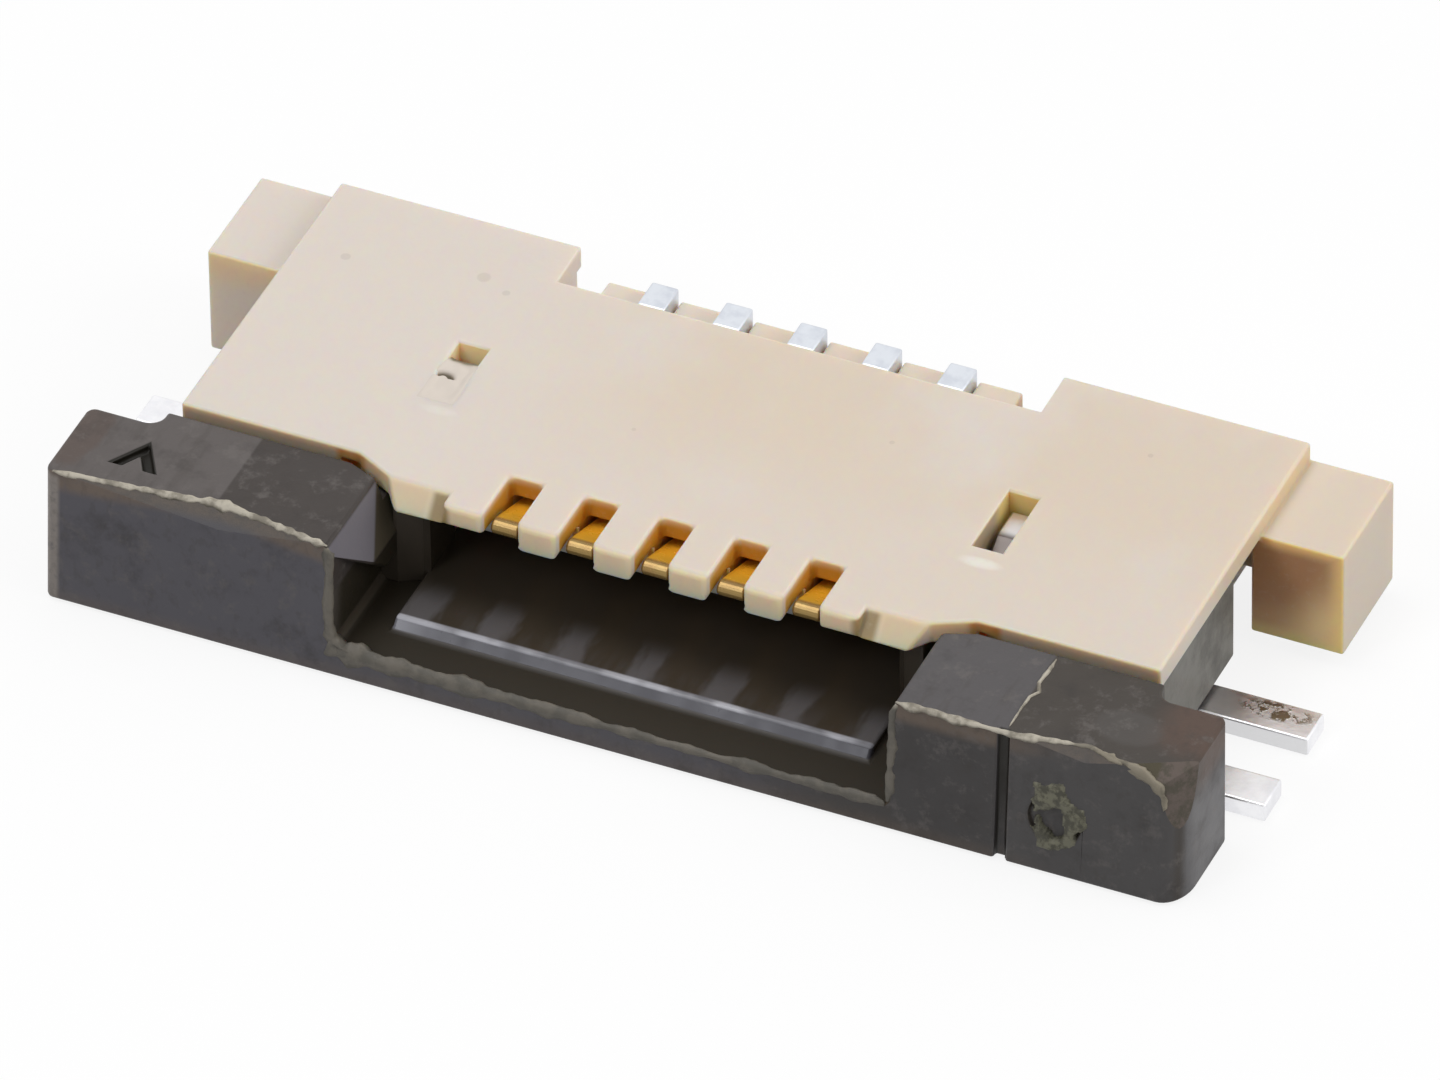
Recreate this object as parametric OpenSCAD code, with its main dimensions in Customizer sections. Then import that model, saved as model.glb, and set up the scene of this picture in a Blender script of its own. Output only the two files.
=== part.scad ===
// Slide-lock connector for a flat cable: right angle, surface mounted, contacts above the cable.
// Millimetres. X runs along the row of contacts, the cable comes in from -Y, and Z = 0 is the board.
// The slider is drawn pushed home, and pulls out along -Y by its travel.

/* [Cable and contact row] */
// Distance between neighbouring contacts
pitch = 0.5; // [0.46:0.01:0.7]
// Width of the cable beyond the middle of the last contact
cable_edge = 0.5; // [0.44:0.01:0.8]
// Thickness of the cable's end
cable_t = 0.3; // [0.26:0.01:0.36]
// Free height between the cable and the plate
beam_room = 0.28; // [0.26:0.01:0.36]

/* [Contacts] */
// Thickness of the contact sheet
contact_t = 0.18; // [0.14:0.01:0.2]
// How far a free contact reaches into the space of the cable
squeeze = 0.03; // [0.02:0.005:0.05]
// Height of the spring beam at its root
beam_h = 0.18; // [0.12:0.01:0.2]
// Gap between the beam and the plate above it
beam_gap = 0.045; // [0.03:0.005:0.06]
// Radius of the crown that presses on the cable
crown_r = 0.07; // [0.05:0.005:0.08]
// Distance of the crown's middle behind the comb slot
crown_set = 0.3; // [0.2:0.01:0.34]
// Length of the slope between the beam and the crown
crown_l = 0.4; // [0.3:0.01:0.5]
// Radius of the turned-up tip
tip_r = 0.05; // [0.035:0.005:0.06]
// Distance of the tip behind the front of the comb
tip_set = 0.07; // [0.04:0.01:0.1]
// Distance of the tip's top below the plate's top
tip_drop = 0.1; // [0.06:0.01:0.12]
// Depth of the rear post
post_d = 0.235; // [0.2:0.005:0.25]
// Distance of the post's top below the plate's top
post_drop = 0.02; // [0.01:0.005:0.06]
// Length of the lower arm in front of the post
lower_arm_l = 1.6; // [1:0.01:1.75]
// Height of a tail
tail_h = 0.15; // [0.1:0.01:0.2]
// Reach of a tail behind the housing
tail_l = 0.6; // [0.4:0.01:0.8]
// Bevel at a tail's end, and radius where it meets the post
tail_bevel = 0.04; // [0.02:0.005:0.06]

/* [Housing] */
// Thickness of the top plate
plate_t = 0.16; // [0.14:0.01:0.2]
// Reach of the plate beyond the cable on each side
plate_side = 1.75; // [1.6:0.01:2.2]
// Depth of the plate at its ends
plate_d = 2.35; // [2.3:0.01:2.8]
// Reach of the comb in front of the plate's ends
comb_reach = 0.27; // [0.22:0.01:0.32]
// Depth of the open slots in the comb
slot_d = 0.43; // [0.38:0.01:0.5]
// Gap beside a contact in its comb slot
slot_gap = 0.025; // [0.015:0.005:0.04]
// Radius under the corners of the comb's fingers
finger_r = 0.05; // [0.02:0.01:0.06]
// How far the fingers reach below the plate
finger_drop = 0.03; // [0:0.005:0.05]
// Width of the square-fronted comb beyond the last contact
comb_edge = 0.38; // [0.34:0.01:0.44]
// Width of the shoulders beyond the cable
shoulder_side = 0.2; // [0.16:0.01:0.24]
// Set-back of the shoulders' sloping front at the top
shoulder_d = 0.14; // [0.08:0.01:0.18]
// Width of the steep part of the taper beside a shoulder
taper_steep = 0.1; // [0.06:0.01:0.12]
// Width of the flat part of the taper beside a shoulder
taper_flat = 0.25; // [0.15:0.01:0.3]
// Width and depth of the undercut in the plate's front edge
undercut = 0.13; // [0.08:0.01:0.2]
// Distance of the ribs between the contacts behind the front of the comb
rib_set = 0.3; // [0.22:0.01:0.36]
// Gap between the cable and the ribs
rib_gap = 0.06; // [0.04:0.01:0.1]
// Gap beside a contact in the floor and the rear wall
post_gap = 0.01; // [0.005:0.005:0.03]
// Depth of the recess behind the plate, over the contact posts
recess_d = 0.365; // [0.34:0.005:0.4]
// Width of the recess beyond the last contact
recess_edge = 0.62; // [0.5:0.01:0.68]
// Width of the rear teeth beyond the last contact
teeth_edge = 0.39; // [0.3:0.01:0.44]
// Distance of the rear teeth's top below the plate's top
teeth_drop = 0.12; // [0.08:0.01:0.16]
// Distance of the rear teeth inside the plate's back edge
teeth_set = 0.11; // [0.06:0.01:0.14]
// Depth of the rear wall
rear_wall_d = 0.75; // [0.6:0.01:0.8]
// Thickness of the floor under the tongue
floor_t = 0.1; // [0.08:0.01:0.12]
// Gap under the housing
standoff = 0.03; // [0.01:0.005:0.05]
// Width of the cavity beyond the cable on each side
cavity_side = 0.15; // [0.12:0.01:0.2]
// Reach of the rear ears beyond the plate
ear_out = 0.55; // [0.4:0.01:0.7]
// Width of the ears under the plate's edge
ear_under = 0.06; // [0.04:0.01:0.08]
// Depth of the ears
ear_d = 0.8; // [0.6:0.01:0.9]
// Distance of the ears' top below the plate's top
ear_drop = 0.13; // [0.08:0.01:0.14]
// Distance of the ears' bottom above the board
ear_lift = 0.1; // [0.05:0.01:0.2]
// Thickness of the web that joins an ear to the body
ear_web = 0.25; // [0.18:0.01:0.3]

/* [Slider] */
// Reach of the slider beyond the plate on each side
slider_side = 0.525; // [0.4:0.005:0.6]
// Distance of the slider's top below the plate's top
slider_drop = 0.04; // [0.02:0.005:0.08]
// Gap under the slider
slider_lift = 0.01; // [0.005:0.005:0.03]
// Depth of the end blocks
block_d = 0.79; // [0.72:0.01:0.9]
// Depth of the end flanges
flange_d = 0.65; // [0.5:0.01:0.7]
// Radius of the flanges' rear corners
flange_r = 0.06; // [0.02:0.01:0.1]
// Radius of the step between a flange and its block
step_r = 0.1; // [0.02:0.01:0.12]
// Radius of the front corner at the first contact's end
first_corner_r = 0.06; // [0.03:0.01:0.2]
// Radius of the front corner at the last contact's end
last_corner_r = 0.17; // [0.03:0.01:0.2]
// Gap between the blocks and the plate when pushed home
lock_gap = 0.06; // [0.03:0.01:0.09]
// Gap between sliding faces
slide_gap = 0.02; // [0.015:0.005:0.03]
// Height of the lip above the slider's bottom
lip_h = 0.18; // [0.15:0.01:0.2]
// Depth of the ledge in front of the tongue
ledge_d = 0.25; // [0.18:0.01:0.3]
// Thickness of the tongue under the cable
tongue_t = 0.11; // [0.1:0.01:0.15]
// Width of the tongue beyond the cable on each side
tongue_side = 0.085; // [0.05:0.005:0.11]
// Gap between the tongue's end and the rear wall
tongue_gap = 0.14; // [0.08:0.01:0.4]
// Step down of the tongue's thin end
tongue_step = 0.05; // [0.03:0.01:0.06]
// Width of the mouth beyond the cable on each side
mouth_side = 0.35; // [0.3:0.01:0.4]
// Radius in the mouth's lower corners
mouth_r = 0.06; // [0.03:0.01:0.08]
// Width of the cheeks over the mouth's sides
cheek = 0.11; // [0.06:0.01:0.14]
// Height of the pockets under the cheeks at the back, above the lip
cheek_z = 0.245; // [0.22:0.005:0.3]
// Height at which the funnel between the cheeks begins, above the lip
funnel_z = 0.41; // [0.38:0.01:0.46]
// Width of the funnel's top beyond the mouth
funnel_side = 0.03; // [0.01:0.01:0.05]
// Thickness of the wall behind the pockets under the cheeks
pocket_wall = 0.1; // [0.06:0.01:0.14]
// Gap between the cable and the guide walls on the tongue
guide_gap = 0.06; // [0.04:0.01:0.08]
// Length of the guide walls behind the blocks
guide_l = 0.35; // [0.3:0.01:0.6]
// Depth over which the pockets' roofs fall
roof_d = 0.52; // [0.4:0.01:0.56]
// Distance of the pockets' roofs below the slider's top at the front
roof_drop = 0.07; // [0.03:0.01:0.1]
// Gap between the blocks and the plate's shoulders
shoulder_gap = 0.03; // [0.02:0.005:0.05]
// Width of an arm
arm_w = 0.28; // [0.2:0.01:0.3]
// Distance of an arm inside the plate's edge
arm_set = 0.03; // [0.01:0.005:0.06]
// Gap between an arm's end and the ear behind it
arm_gap = 0.33; // [0.25:0.01:0.5]
// How far the slider pulls out
travel = 0.7; // [0.4:0.01:0.75]
// Reach of the hook that stops the slider
hook_out = 0.11; // [0.08:0.01:0.14]
// Length of the hook along the arm
hook_l = 0.18; // [0.14:0.01:0.25]

/* [Slider marks] */
// Distance of the parting groove from the mouth's edge
groove_set = 0.7; // [0.6:0.01:0.8]
// Width of the parting groove
groove_w = 0.07; // [0.04:0.01:0.1]
// Depth of the parting groove and of the gate dimple
groove_d = 0.03; // [0.02:0.005:0.05]
// Radius of the gate dimple
gate_r = 0.17; // [0.1:0.01:0.2]
// Distance of the gate dimple's middle from the slider's end
gate_set = 0.84; // [0.6:0.01:0.86]
// Height of the gate dimple's middle above the slider's bottom
gate_z = 0.4; // [0.3:0.01:0.5]
// Width of the chevron at the first contact's end
mark_w = 0.3; // [0.2:0.01:0.36]
// Length of the chevron
mark_l = 0.25; // [0.18:0.01:0.3]
// Width of the chevron's stroke
mark_stroke = 0.075; // [0.05:0.005:0.09]
// Depth of the chevron
mark_d = 0.06; // [0.02:0.005:0.08]
// Distance of the chevron's middle from the slider's end
mark_x = 0.49; // [0.4:0.01:0.6]
// Distance of the chevron behind the slider's front
mark_y = 0.22; // [0.18:0.01:0.26]

/* [Solder tabs] */
// Thickness of the tab sheet
tab_t = 0.13; // [0.1:0.01:0.15]
// Gap beside the tab's blade in its window
window_gap = 0.035; // [0.02:0.005:0.05]
// Thickness of the wall between the cavity and the window
window_wall = 0.085; // [0.06:0.005:0.12]
// Length of the blade
blade_l = 0.5; // [0.4:0.01:0.55]
// Distance of the blade's front behind the plate's front edge
blade_set = 0.68; // [0.64:0.01:0.8]
// Distance of the blade's top below the plate's top
blade_drop = 0.13; // [0.08:0.01:0.16]
// Drop of the blade's sloping front
blade_slope = 0.16; // [0.08:0.01:0.25]
// Width of the base between the feet
base_w = 0.35; // [0.25:0.01:0.45]
// Width of a foot
foot_w = 0.27; // [0.2:0.01:0.3]
// Distance of the front foot behind the plate's front edge
foot_set = 0.03; // [0.01:0.01:0.06]
// Distance between the middles of the two feet
foot_pitch = 0.67; // [0.6:0.01:0.75]
// Reach of the feet beyond the plate
foot_out = 0.67; // [0.55:0.01:0.9]
// Gap around the feet under the housing and under the arms
foot_gap = 0.04; // [0.02:0.005:0.05]

/* [Hidden] */
$fn = 32;
arc_steps = 10;
contact_count = 5;
// How far a cutting shape runs past the face that it cuts
past = 0.1;

// Half widths, from the middle outwards
row_hw = pitch * (contact_count - 1) / 2;
comb_hw = row_hw + comb_edge;
recess_hw = row_hw + recess_edge;
teeth_hw = row_hw + teeth_edge;
cable_hw = row_hw + cable_edge;
tongue_hw = cable_hw + tongue_side;
cavity_hw = cable_hw + cavity_side;
shoulder_hw = cable_hw + shoulder_side;
steep_hw = shoulder_hw + taper_steep;
taper_hw = steep_hw + taper_flat;
mouth_hw = cable_hw + mouth_side;
cheek_hw = mouth_hw - cheek;
funnel_hw = mouth_hw + funnel_side;
guide_x0 = cable_hw + guide_gap;
guide_x1 = cheek_hw + slide_gap;
slot_w = contact_t + 2 * slot_gap;
slit_w = contact_t + 2 * post_gap;
window_w = tab_t + 2 * window_gap;
window_x = cavity_hw + window_wall + window_w / 2;
plate_hw = cable_hw + plate_side;
arm_x1 = plate_hw - arm_set;
arm_x0 = arm_x1 - arm_w;
body_hw = arm_x0 - 2 * slide_gap;
slider_hw = plate_hw + slider_side;
ear_hw = plate_hw + ear_out;
foot_hw = plate_hw + foot_out;

// Places along Y, from the slider's front to the ends of the tails
depth = block_d + lock_gap + plate_d + tail_l;
front_y = -depth / 2;
block_y = front_y + block_d;
plate_y0 = block_y + lock_gap;
plate_y1 = plate_y0 + plate_d;
tail_y = plate_y1 + tail_l;
comb_y = plate_y0 - comb_reach;
slot_y = comb_y + slot_d;
crown_y = slot_y + crown_set;
recess_y = plate_y1 - recess_d;
post_y = recess_y + post_gap;
teeth_y = plate_y1 - teeth_set;
rear_wall_y = teeth_y - rear_wall_d;
tongue_y0 = front_y + ledge_d;
tongue_y1 = rear_wall_y - tongue_gap;
guide_y = block_y + guide_l;
arm_y = plate_y1 - ear_d - arm_gap;
blade_y0 = plate_y0 + blade_set;
blade_y1 = blade_y0 + blade_l;
foot_y = plate_y0 + foot_set;

// Heights above the board
floor_z = standoff + floor_t;
tongue_z0 = floor_z + slide_gap;
tongue_z1 = tongue_z0 + tongue_t;
cable_z = tongue_z1 + cable_t;
plate_z = cable_z + beam_room;
height = plate_z + plate_t;
beam_z = plate_z - beam_gap - beam_h / 2;
crown_z = cable_z - squeeze + crown_r;
slider_z0 = slider_lift;
slider_z1 = height - slider_drop;
lip_z = slider_z0 + lip_h;
arm_z0 = tab_t + foot_gap;
arm_z1 = plate_z - slide_gap;

housing_colour = "#DDD0BC";
slider_colour = "#55524F";
contact_colour = "#C98A1E";
tab_colour = "#C4C7C9";

// A copy on each side of the middle plane
module both_sides() {
    children();
    mirror([1, 0, 0]) children();
}

// A box between two corners
module box(low, high) {
    translate(low) cube(high - low);
}

// A profile in Y and Z, drawn out along X
module along_x(x0, x1) {
    translate([x0, 0, 0]) rotate([90, 0, 90]) linear_extrude(x1 - x0) union() children();
}

// A profile in X and Z, drawn out along Y
module along_y(y0, y1) {
    translate([0, y1, 0]) rotate([90, 0, 0]) linear_extrude(y1 - y0) union() children();
}

// A profile in X and Y, drawn out along Z
module along_z(z0, z1) {
    translate([0, 0, z0]) linear_extrude(z1 - z0) union() children();
}

// A point at a distance and an angle
function polar(r, angle) = r * [cos(angle), sin(angle)];

// Points of an arc about a middle point, from one angle to another
function arc(middle, r, from, to) = [for (i = [0:arc_steps]) middle + polar(r, from + (to - from) * i / arc_steps)];

// Places of the contacts in the row, counted from the left
function contact_x(i) = (i - 1) * pitch - row_hw;

// Housing: plate, comb, walls, floor, rear teeth and ears

module plate_outline() {
    polygon([
        [-plate_hw, plate_y0], [-taper_hw, plate_y0], [-taper_hw, slot_y],
        [taper_hw, slot_y], [taper_hw, plate_y0], [plate_hw, plate_y0],
        [plate_hw, plate_y1], [recess_hw, plate_y1], [recess_hw, recess_y],
        [-recess_hw, recess_y], [-recess_hw, plate_y1], [-plate_hw, plate_y1],
    ]);
}

// One finger of the comb, with round lower edges
module finger() {
    finger_hw = (pitch - slot_w) / 2;
    round_z = plate_z - finger_drop + finger_r;
    along_y(comb_y, slot_y) {
        translate([-finger_hw, round_z]) square([2 * finger_hw, height - round_z]);
        translate([finger_r - finger_hw, round_z - finger_r]) square([2 * (finger_hw - finger_r), 2 * finger_r]);
        for (side = [-1, 1]) translate([side * (finger_hw - finger_r), round_z]) circle(finger_r);
    }
}

// The right shoulder beside the comb, which slopes at the front and tapers back to the plate's end
module shoulder() {
    slot_edge = row_hw + slot_w / 2;
    difference() {
        along_z(plate_z, height) polygon([
            [slot_edge, slot_y], [slot_edge, comb_y], [shoulder_hw, comb_y],
            [steep_hw, comb_y + shoulder_d], [taper_hw, plate_y0], [taper_hw, slot_y],
        ]);
        along_x(comb_hw, taper_hw + past) polygon([
            [comb_y, plate_z], [comb_y + shoulder_d, height], [comb_y + shoulder_d, height + past],
            [comb_y - past, height + past], [comb_y - past, plate_z],
        ]);
    }
}

module side_wall() {
    box([cavity_hw, plate_y0, standoff], [body_hw, plate_y1, plate_z]);
}

module ear() {
    box([plate_hw - ear_under, plate_y1 - ear_d, ear_lift], [ear_hw, plate_y1, height - ear_drop]);
    box([body_hw - past, plate_y1 - ear_web, ear_lift], [plate_hw, plate_y1, height - ear_drop]);
}

// One rib under the plate, between two contacts
module rib() {
    rib_hw = (pitch - slot_w) / 2;
    box([-rib_hw, comb_y + rib_set, cable_z + rib_gap], [rib_hw, rear_wall_y + past, plate_z + finger_r]);
}

// Rear wall with the teeth that stand between the contact posts
module rear_wall() {
    box([-cavity_hw, rear_wall_y, standoff], [cavity_hw, recess_y, plate_z]);
    box([-teeth_hw, rear_wall_y, standoff], [teeth_hw, teeth_y, height - teeth_drop]);
}

// Slit for one contact, through the floor, the rear wall and the teeth
module contact_slit() {
    box([-slit_w / 2, post_y - lower_arm_l - post_gap, 0], [slit_w / 2, teeth_y + past, floor_z + past]);
    box([-slit_w / 2, rear_wall_y - past, 0], [slit_w / 2, teeth_y + past, plate_z]);
    box([-slit_w / 2, recess_y, 0], [slit_w / 2, teeth_y + past, height]);
}

// Room for the right tab: its blade, up to the window, and its base and feet under the wall
module tab_room() {
    box(
        [window_x - window_w / 2, blade_y0 - window_gap, 0],
        [window_x + window_w / 2, blade_y1 + window_gap, height + past]
    );
    box(
        [window_x, foot_y - foot_gap, 0],
        [window_x + base_w + foot_gap, blade_y1 + window_gap, tab_t + foot_gap]
    );
    for (i = [0, 1]) box(
        [window_x, foot_y + i * foot_pitch - foot_gap, 0],
        [body_hw + past, foot_y + i * foot_pitch + foot_w + foot_gap, tab_t + foot_gap]
    );
}

// Track in which the slider's right hook runs, with its stop at the front
module hook_track() {
    box(
        [arm_x0 - hook_out - slide_gap, arm_y - hook_l - travel - slide_gap, arm_z0 - slide_gap],
        [body_hw + past, arm_y + lock_gap, plate_z]
    );
}

// Room for the slider's right guide wall, in front of the window
module guide_room() {
    box([guide_x0, plate_y0 - past, floor_z], [guide_x1 + slide_gap, guide_y + lock_gap, plate_z]);
}

// Undercut in the plate's front edge, beside the right shoulder
module edge_undercut() {
    box([taper_hw, plate_y0 - past, plate_z - past], [taper_hw + undercut, plate_y0 + undercut, plate_z + undercut / 2]);
}

module housing() {
    color(housing_colour) difference() {
        union() {
            along_z(plate_z, height) plate_outline();
            for (i = [1:contact_count - 1]) translate([contact_x(i) + pitch / 2, 0, 0]) finger();
            for (i = [0:contact_count]) translate([contact_x(i) + pitch / 2, 0, 0]) rib();
            both_sides() {
                shoulder();
                side_wall();
                ear();
            }
            box([-cavity_hw, plate_y0, standoff], [cavity_hw, rear_wall_y, floor_z]);
            rear_wall();
        }
        both_sides() {
            tab_room();
            hook_track();
            guide_room();
            edge_undercut();
        }
        for (i = [1:contact_count]) translate([contact_x(i), 0, 0]) contact_slit();
    }
}

// Slider: front bar with the mouth, tongue and arms

// Outline of the bar under the plate's level
module bar_outline() {
    step_hw = plate_hw + lock_gap;
    flange_y = front_y + flange_d;
    first = [first_corner_r - slider_hw, front_y + first_corner_r];
    last = [slider_hw - last_corner_r, front_y + last_corner_r];
    polygon(concat(
        arc(first, first_corner_r, 180, 270),
        arc(last, last_corner_r, 270, 360),
        arc([slider_hw - flange_r, flange_y - flange_r], flange_r, 0, 90),
        arc([step_hw + step_r, flange_y + step_r], step_r, 270, 180),
        [[step_hw, block_y], [-step_hw, block_y]],
        arc([-step_hw - step_r, flange_y + step_r], step_r, 360, 270),
        arc([flange_r - slider_hw, flange_y - flange_r], flange_r, 90, 180)
    ));
}

// Room for the plate's right shoulder, cut out of the top of the bar
module shoulder_room() {
    along_z(arm_z1, height + past) polygon([
        [0, comb_y - shoulder_gap], [shoulder_hw + shoulder_gap, comb_y - shoulder_gap],
        [steep_hw + shoulder_gap, comb_y + shoulder_d - shoulder_gap], [taper_hw + shoulder_gap, block_y],
        [taper_hw + shoulder_gap, block_y + past], [0, block_y + past],
    ]);
}

// The mouth between the blocks: a funnel between the cheeks, with a wider pocket under each cheek
module mouth() {
    pocket_y = block_y - pocket_wall;
    roof_z = slider_z1 - roof_drop;
    along_y(front_y - past, block_y + past) polygon([
        [-cheek_hw, lip_z], [cheek_hw, lip_z], [cheek_hw, lip_z + funnel_z], [funnel_hw, slider_z1],
        [funnel_hw, height], [-funnel_hw, height], [-funnel_hw, slider_z1], [-cheek_hw, lip_z + funnel_z],
    ]);
    along_x(-mouth_hw, mouth_hw) polygon([
        [front_y - past, lip_z], [front_y - past, roof_z], [front_y, roof_z],
        [front_y + roof_d, lip_z + cheek_z], [pocket_y, lip_z + cheek_z], [pocket_y, lip_z],
    ]);
}

// Fillet in the mouth's lower right corner
module mouth_fillet() {
    along_y(front_y, block_y) difference() {
        translate([mouth_hw - mouth_r, lip_z - mouth_r]) square([2 * mouth_r, 2 * mouth_r]);
        translate([mouth_hw - mouth_r, lip_z + mouth_r]) circle(mouth_r);
    }
}

// The tongue: a nose behind the ledge, a flat run under the contacts and a thinner end
module tongue() {
    nose = tongue_z1 - lip_z;
    flat_y = crown_y + travel / 2;
    thin_z = tongue_z1 - tongue_step;
    along_x(-tongue_hw, tongue_hw) polygon([
        [tongue_y0, slider_z0], [tongue_y0, lip_z], [tongue_y0 + nose, tongue_z1],
        [flat_y, tongue_z1], [flat_y + travel / 2, thin_z],
        [tongue_y1 - tongue_t / 2, thin_z], [tongue_y1, tongue_z0 + tongue_t / 4],
        [tongue_y1, tongue_z0], [block_y, tongue_z0], [block_y, slider_z0],
    ]);
}

// The right guide wall on the tongue's edge, which leads the cable in and slides in the housing
module guide_wall() {
    along_z(tongue_z0, arm_z1) polygon([
        [cheek_hw, block_y - pocket_wall], [guide_x1, block_y - pocket_wall],
        [guide_x1, guide_y], [guide_x0, guide_y], [guide_x0, block_y],
    ]);
}

// The right arm, with the hook that stops the slider when it is pulled out
module arm() {
    box([arm_x0, block_y - past, arm_z0], [arm_x1, arm_y, arm_z1]);
    along_z(arm_z0, arm_z1) polygon([
        [arm_x0 + arm_w / 2, arm_y - hook_l], [arm_x0 - hook_out, arm_y - hook_l],
        [arm_x0 - hook_out, arm_y - hook_l / 2], [arm_x0, arm_y], [arm_x0 + arm_w / 2, arm_y],
    ]);
}

// Chevron that marks the first contact's end
module first_mark() {
    inner_l = mark_l - 1.6 * mark_stroke;
    translate([mark_x - slider_hw, front_y + mark_y, 0]) along_z(slider_z1 - mark_d, height) polygon([
        [-mark_w / 2, 0], [0, mark_l], [mark_w / 2, 0],
        [mark_w / 2 - mark_stroke, 0], [0, inner_l], [mark_stroke - mark_w / 2, 0],
    ]);
}

// Parting groove and gate dimple in the front of the right block
module front_marks() {
    groove_x = mouth_hw + groove_set;
    box([groove_x, front_y - past, 0], [groove_x + groove_w, front_y + groove_d, height]);
    translate([slider_hw - gate_set, front_y + groove_d, slider_z0 + gate_z])
        rotate([90, 0, 0]) cylinder(r = gate_r, h = groove_d + past);
}

module slider() {
    color(slider_colour) union() {
        difference() {
            along_z(slider_z0, slider_z1) bar_outline();
            mouth();
            both_sides() shoulder_room();
            first_mark();
            front_marks();
        }
        tongue();
        both_sides() {
            mouth_fillet();
            guide_wall();
            arm();
        }
    }
}

// Contacts: a post with a tail, a lower arm in the floor and a spring beam over the cable

module contact_profile() {
    bend_r = (beam_h / 2 + crown_r) / 2;
    bend = [crown_y + crown_l, beam_z];
    crown = [crown_y, crown_z];
    tip = [comb_y + tip_set + tip_r, height - tip_drop - tip_r];
    fall = atan2(bend.y - crown.y, bend.x - crown.x);
    rise = atan2(tip.y - crown.y, crown.x - tip.x);
    post_y1 = post_y + post_d;
    lower_y = post_y - lower_arm_l;
    lower_z0 = standoff + post_gap;
    lower_z1 = floor_z - post_gap;
    polygon(concat(
        [[post_y, 0], [tail_y, 0], [tail_y, tail_h - tail_bevel], [tail_y - tail_bevel, tail_h]],
        arc([post_y1 + tail_bevel, tail_h + tail_bevel], tail_bevel, 270, 180),
        [[post_y1, height - post_drop], [post_y, height - post_drop], [post_y, beam_z + beam_h / 2]],
        arc(bend, bend_r, 90, 90 + fall),
        [crown + polar(crown_r / cos((fall + rise) / 2), 90 + (fall - rise) / 2)],
        arc(tip, tip_r, 90 - rise, 270 - rise),
        arc(crown, crown_r, 270 - rise, 270 + fall),
        [bend + polar(bend_r / cos(fall / 2), 270 + fall / 2), [post_y, beam_z - beam_h / 2]],
        [[post_y, lower_z1], [lower_y, lower_z1], [lower_y, lower_z0], [post_y, lower_z0]]
    ));
}

module contact(i) {
    color(contact_colour) translate([contact_x(i), 0, 0])
        along_x(-contact_t / 2, contact_t / 2) contact_profile();
}

// Solder tabs: an upright blade, a base with a round bend and two feet

module tab_bend() {
    blade_x = window_x - tab_t / 2;
    translate([blade_x, tab_t]) square([tab_t, height - blade_drop - tab_t]);
    translate([blade_x + tab_t, 0]) square([base_w - tab_t / 2, tab_t]);
    intersection() {
        translate([blade_x + tab_t, tab_t]) circle(tab_t);
        translate([blade_x, 0]) square(tab_t);
    }
}

module solder_tab() {
    blade_z = height - blade_drop;
    color(tab_colour) union() {
        difference() {
            along_y(blade_y0, blade_y1) tab_bend();
            along_x(window_x - tab_t, window_x + tab_t) polygon([
                [blade_y0, blade_z - blade_slope], [blade_y0 + blade_l / 2, blade_z],
                [blade_y0 + blade_l / 2, blade_z + past], [blade_y0 - past, blade_z + past],
                [blade_y0 - past, blade_z - blade_slope],
            ]);
        }
        box([window_x + tab_t / 2, foot_y, 0], [window_x + base_w, blade_y1, tab_t]);
        for (i = [0, 1]) translate([0, foot_y + i * foot_pitch, 0])
            box([window_x + base_w / 2, 0, 0], [foot_hw, foot_w, tab_t]);
    }
}

housing();
slider();
for (i = [1:contact_count]) contact(i);
mirror([1, 0, 0]) solder_tab();  // solder_tab_left
solder_tab();  // solder_tab_right
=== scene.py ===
import math

import bmesh
import bpy
from mathutils import Matrix, Vector, noise


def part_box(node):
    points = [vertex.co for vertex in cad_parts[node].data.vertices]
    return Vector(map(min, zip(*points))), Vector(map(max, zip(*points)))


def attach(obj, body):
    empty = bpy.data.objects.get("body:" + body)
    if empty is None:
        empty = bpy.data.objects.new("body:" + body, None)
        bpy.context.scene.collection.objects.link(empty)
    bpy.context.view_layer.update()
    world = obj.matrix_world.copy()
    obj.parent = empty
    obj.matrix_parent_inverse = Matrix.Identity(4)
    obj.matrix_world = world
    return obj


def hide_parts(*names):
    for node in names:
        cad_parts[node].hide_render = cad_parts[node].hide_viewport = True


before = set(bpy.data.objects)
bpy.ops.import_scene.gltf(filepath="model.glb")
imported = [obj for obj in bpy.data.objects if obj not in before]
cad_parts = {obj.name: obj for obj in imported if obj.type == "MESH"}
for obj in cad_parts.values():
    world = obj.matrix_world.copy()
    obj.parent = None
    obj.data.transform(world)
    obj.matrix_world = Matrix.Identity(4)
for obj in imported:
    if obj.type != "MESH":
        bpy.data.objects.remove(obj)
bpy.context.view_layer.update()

scene = bpy.context.scene
scene.view_settings.view_transform = "Standard"

# Sizes and places are in millimetres, in the frame of the part
MM = 0.001


def node_box(node):
    """A node's lowest and highest corners in millimetres."""
    low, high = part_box(node)
    return low / MM, high / MM


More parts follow.
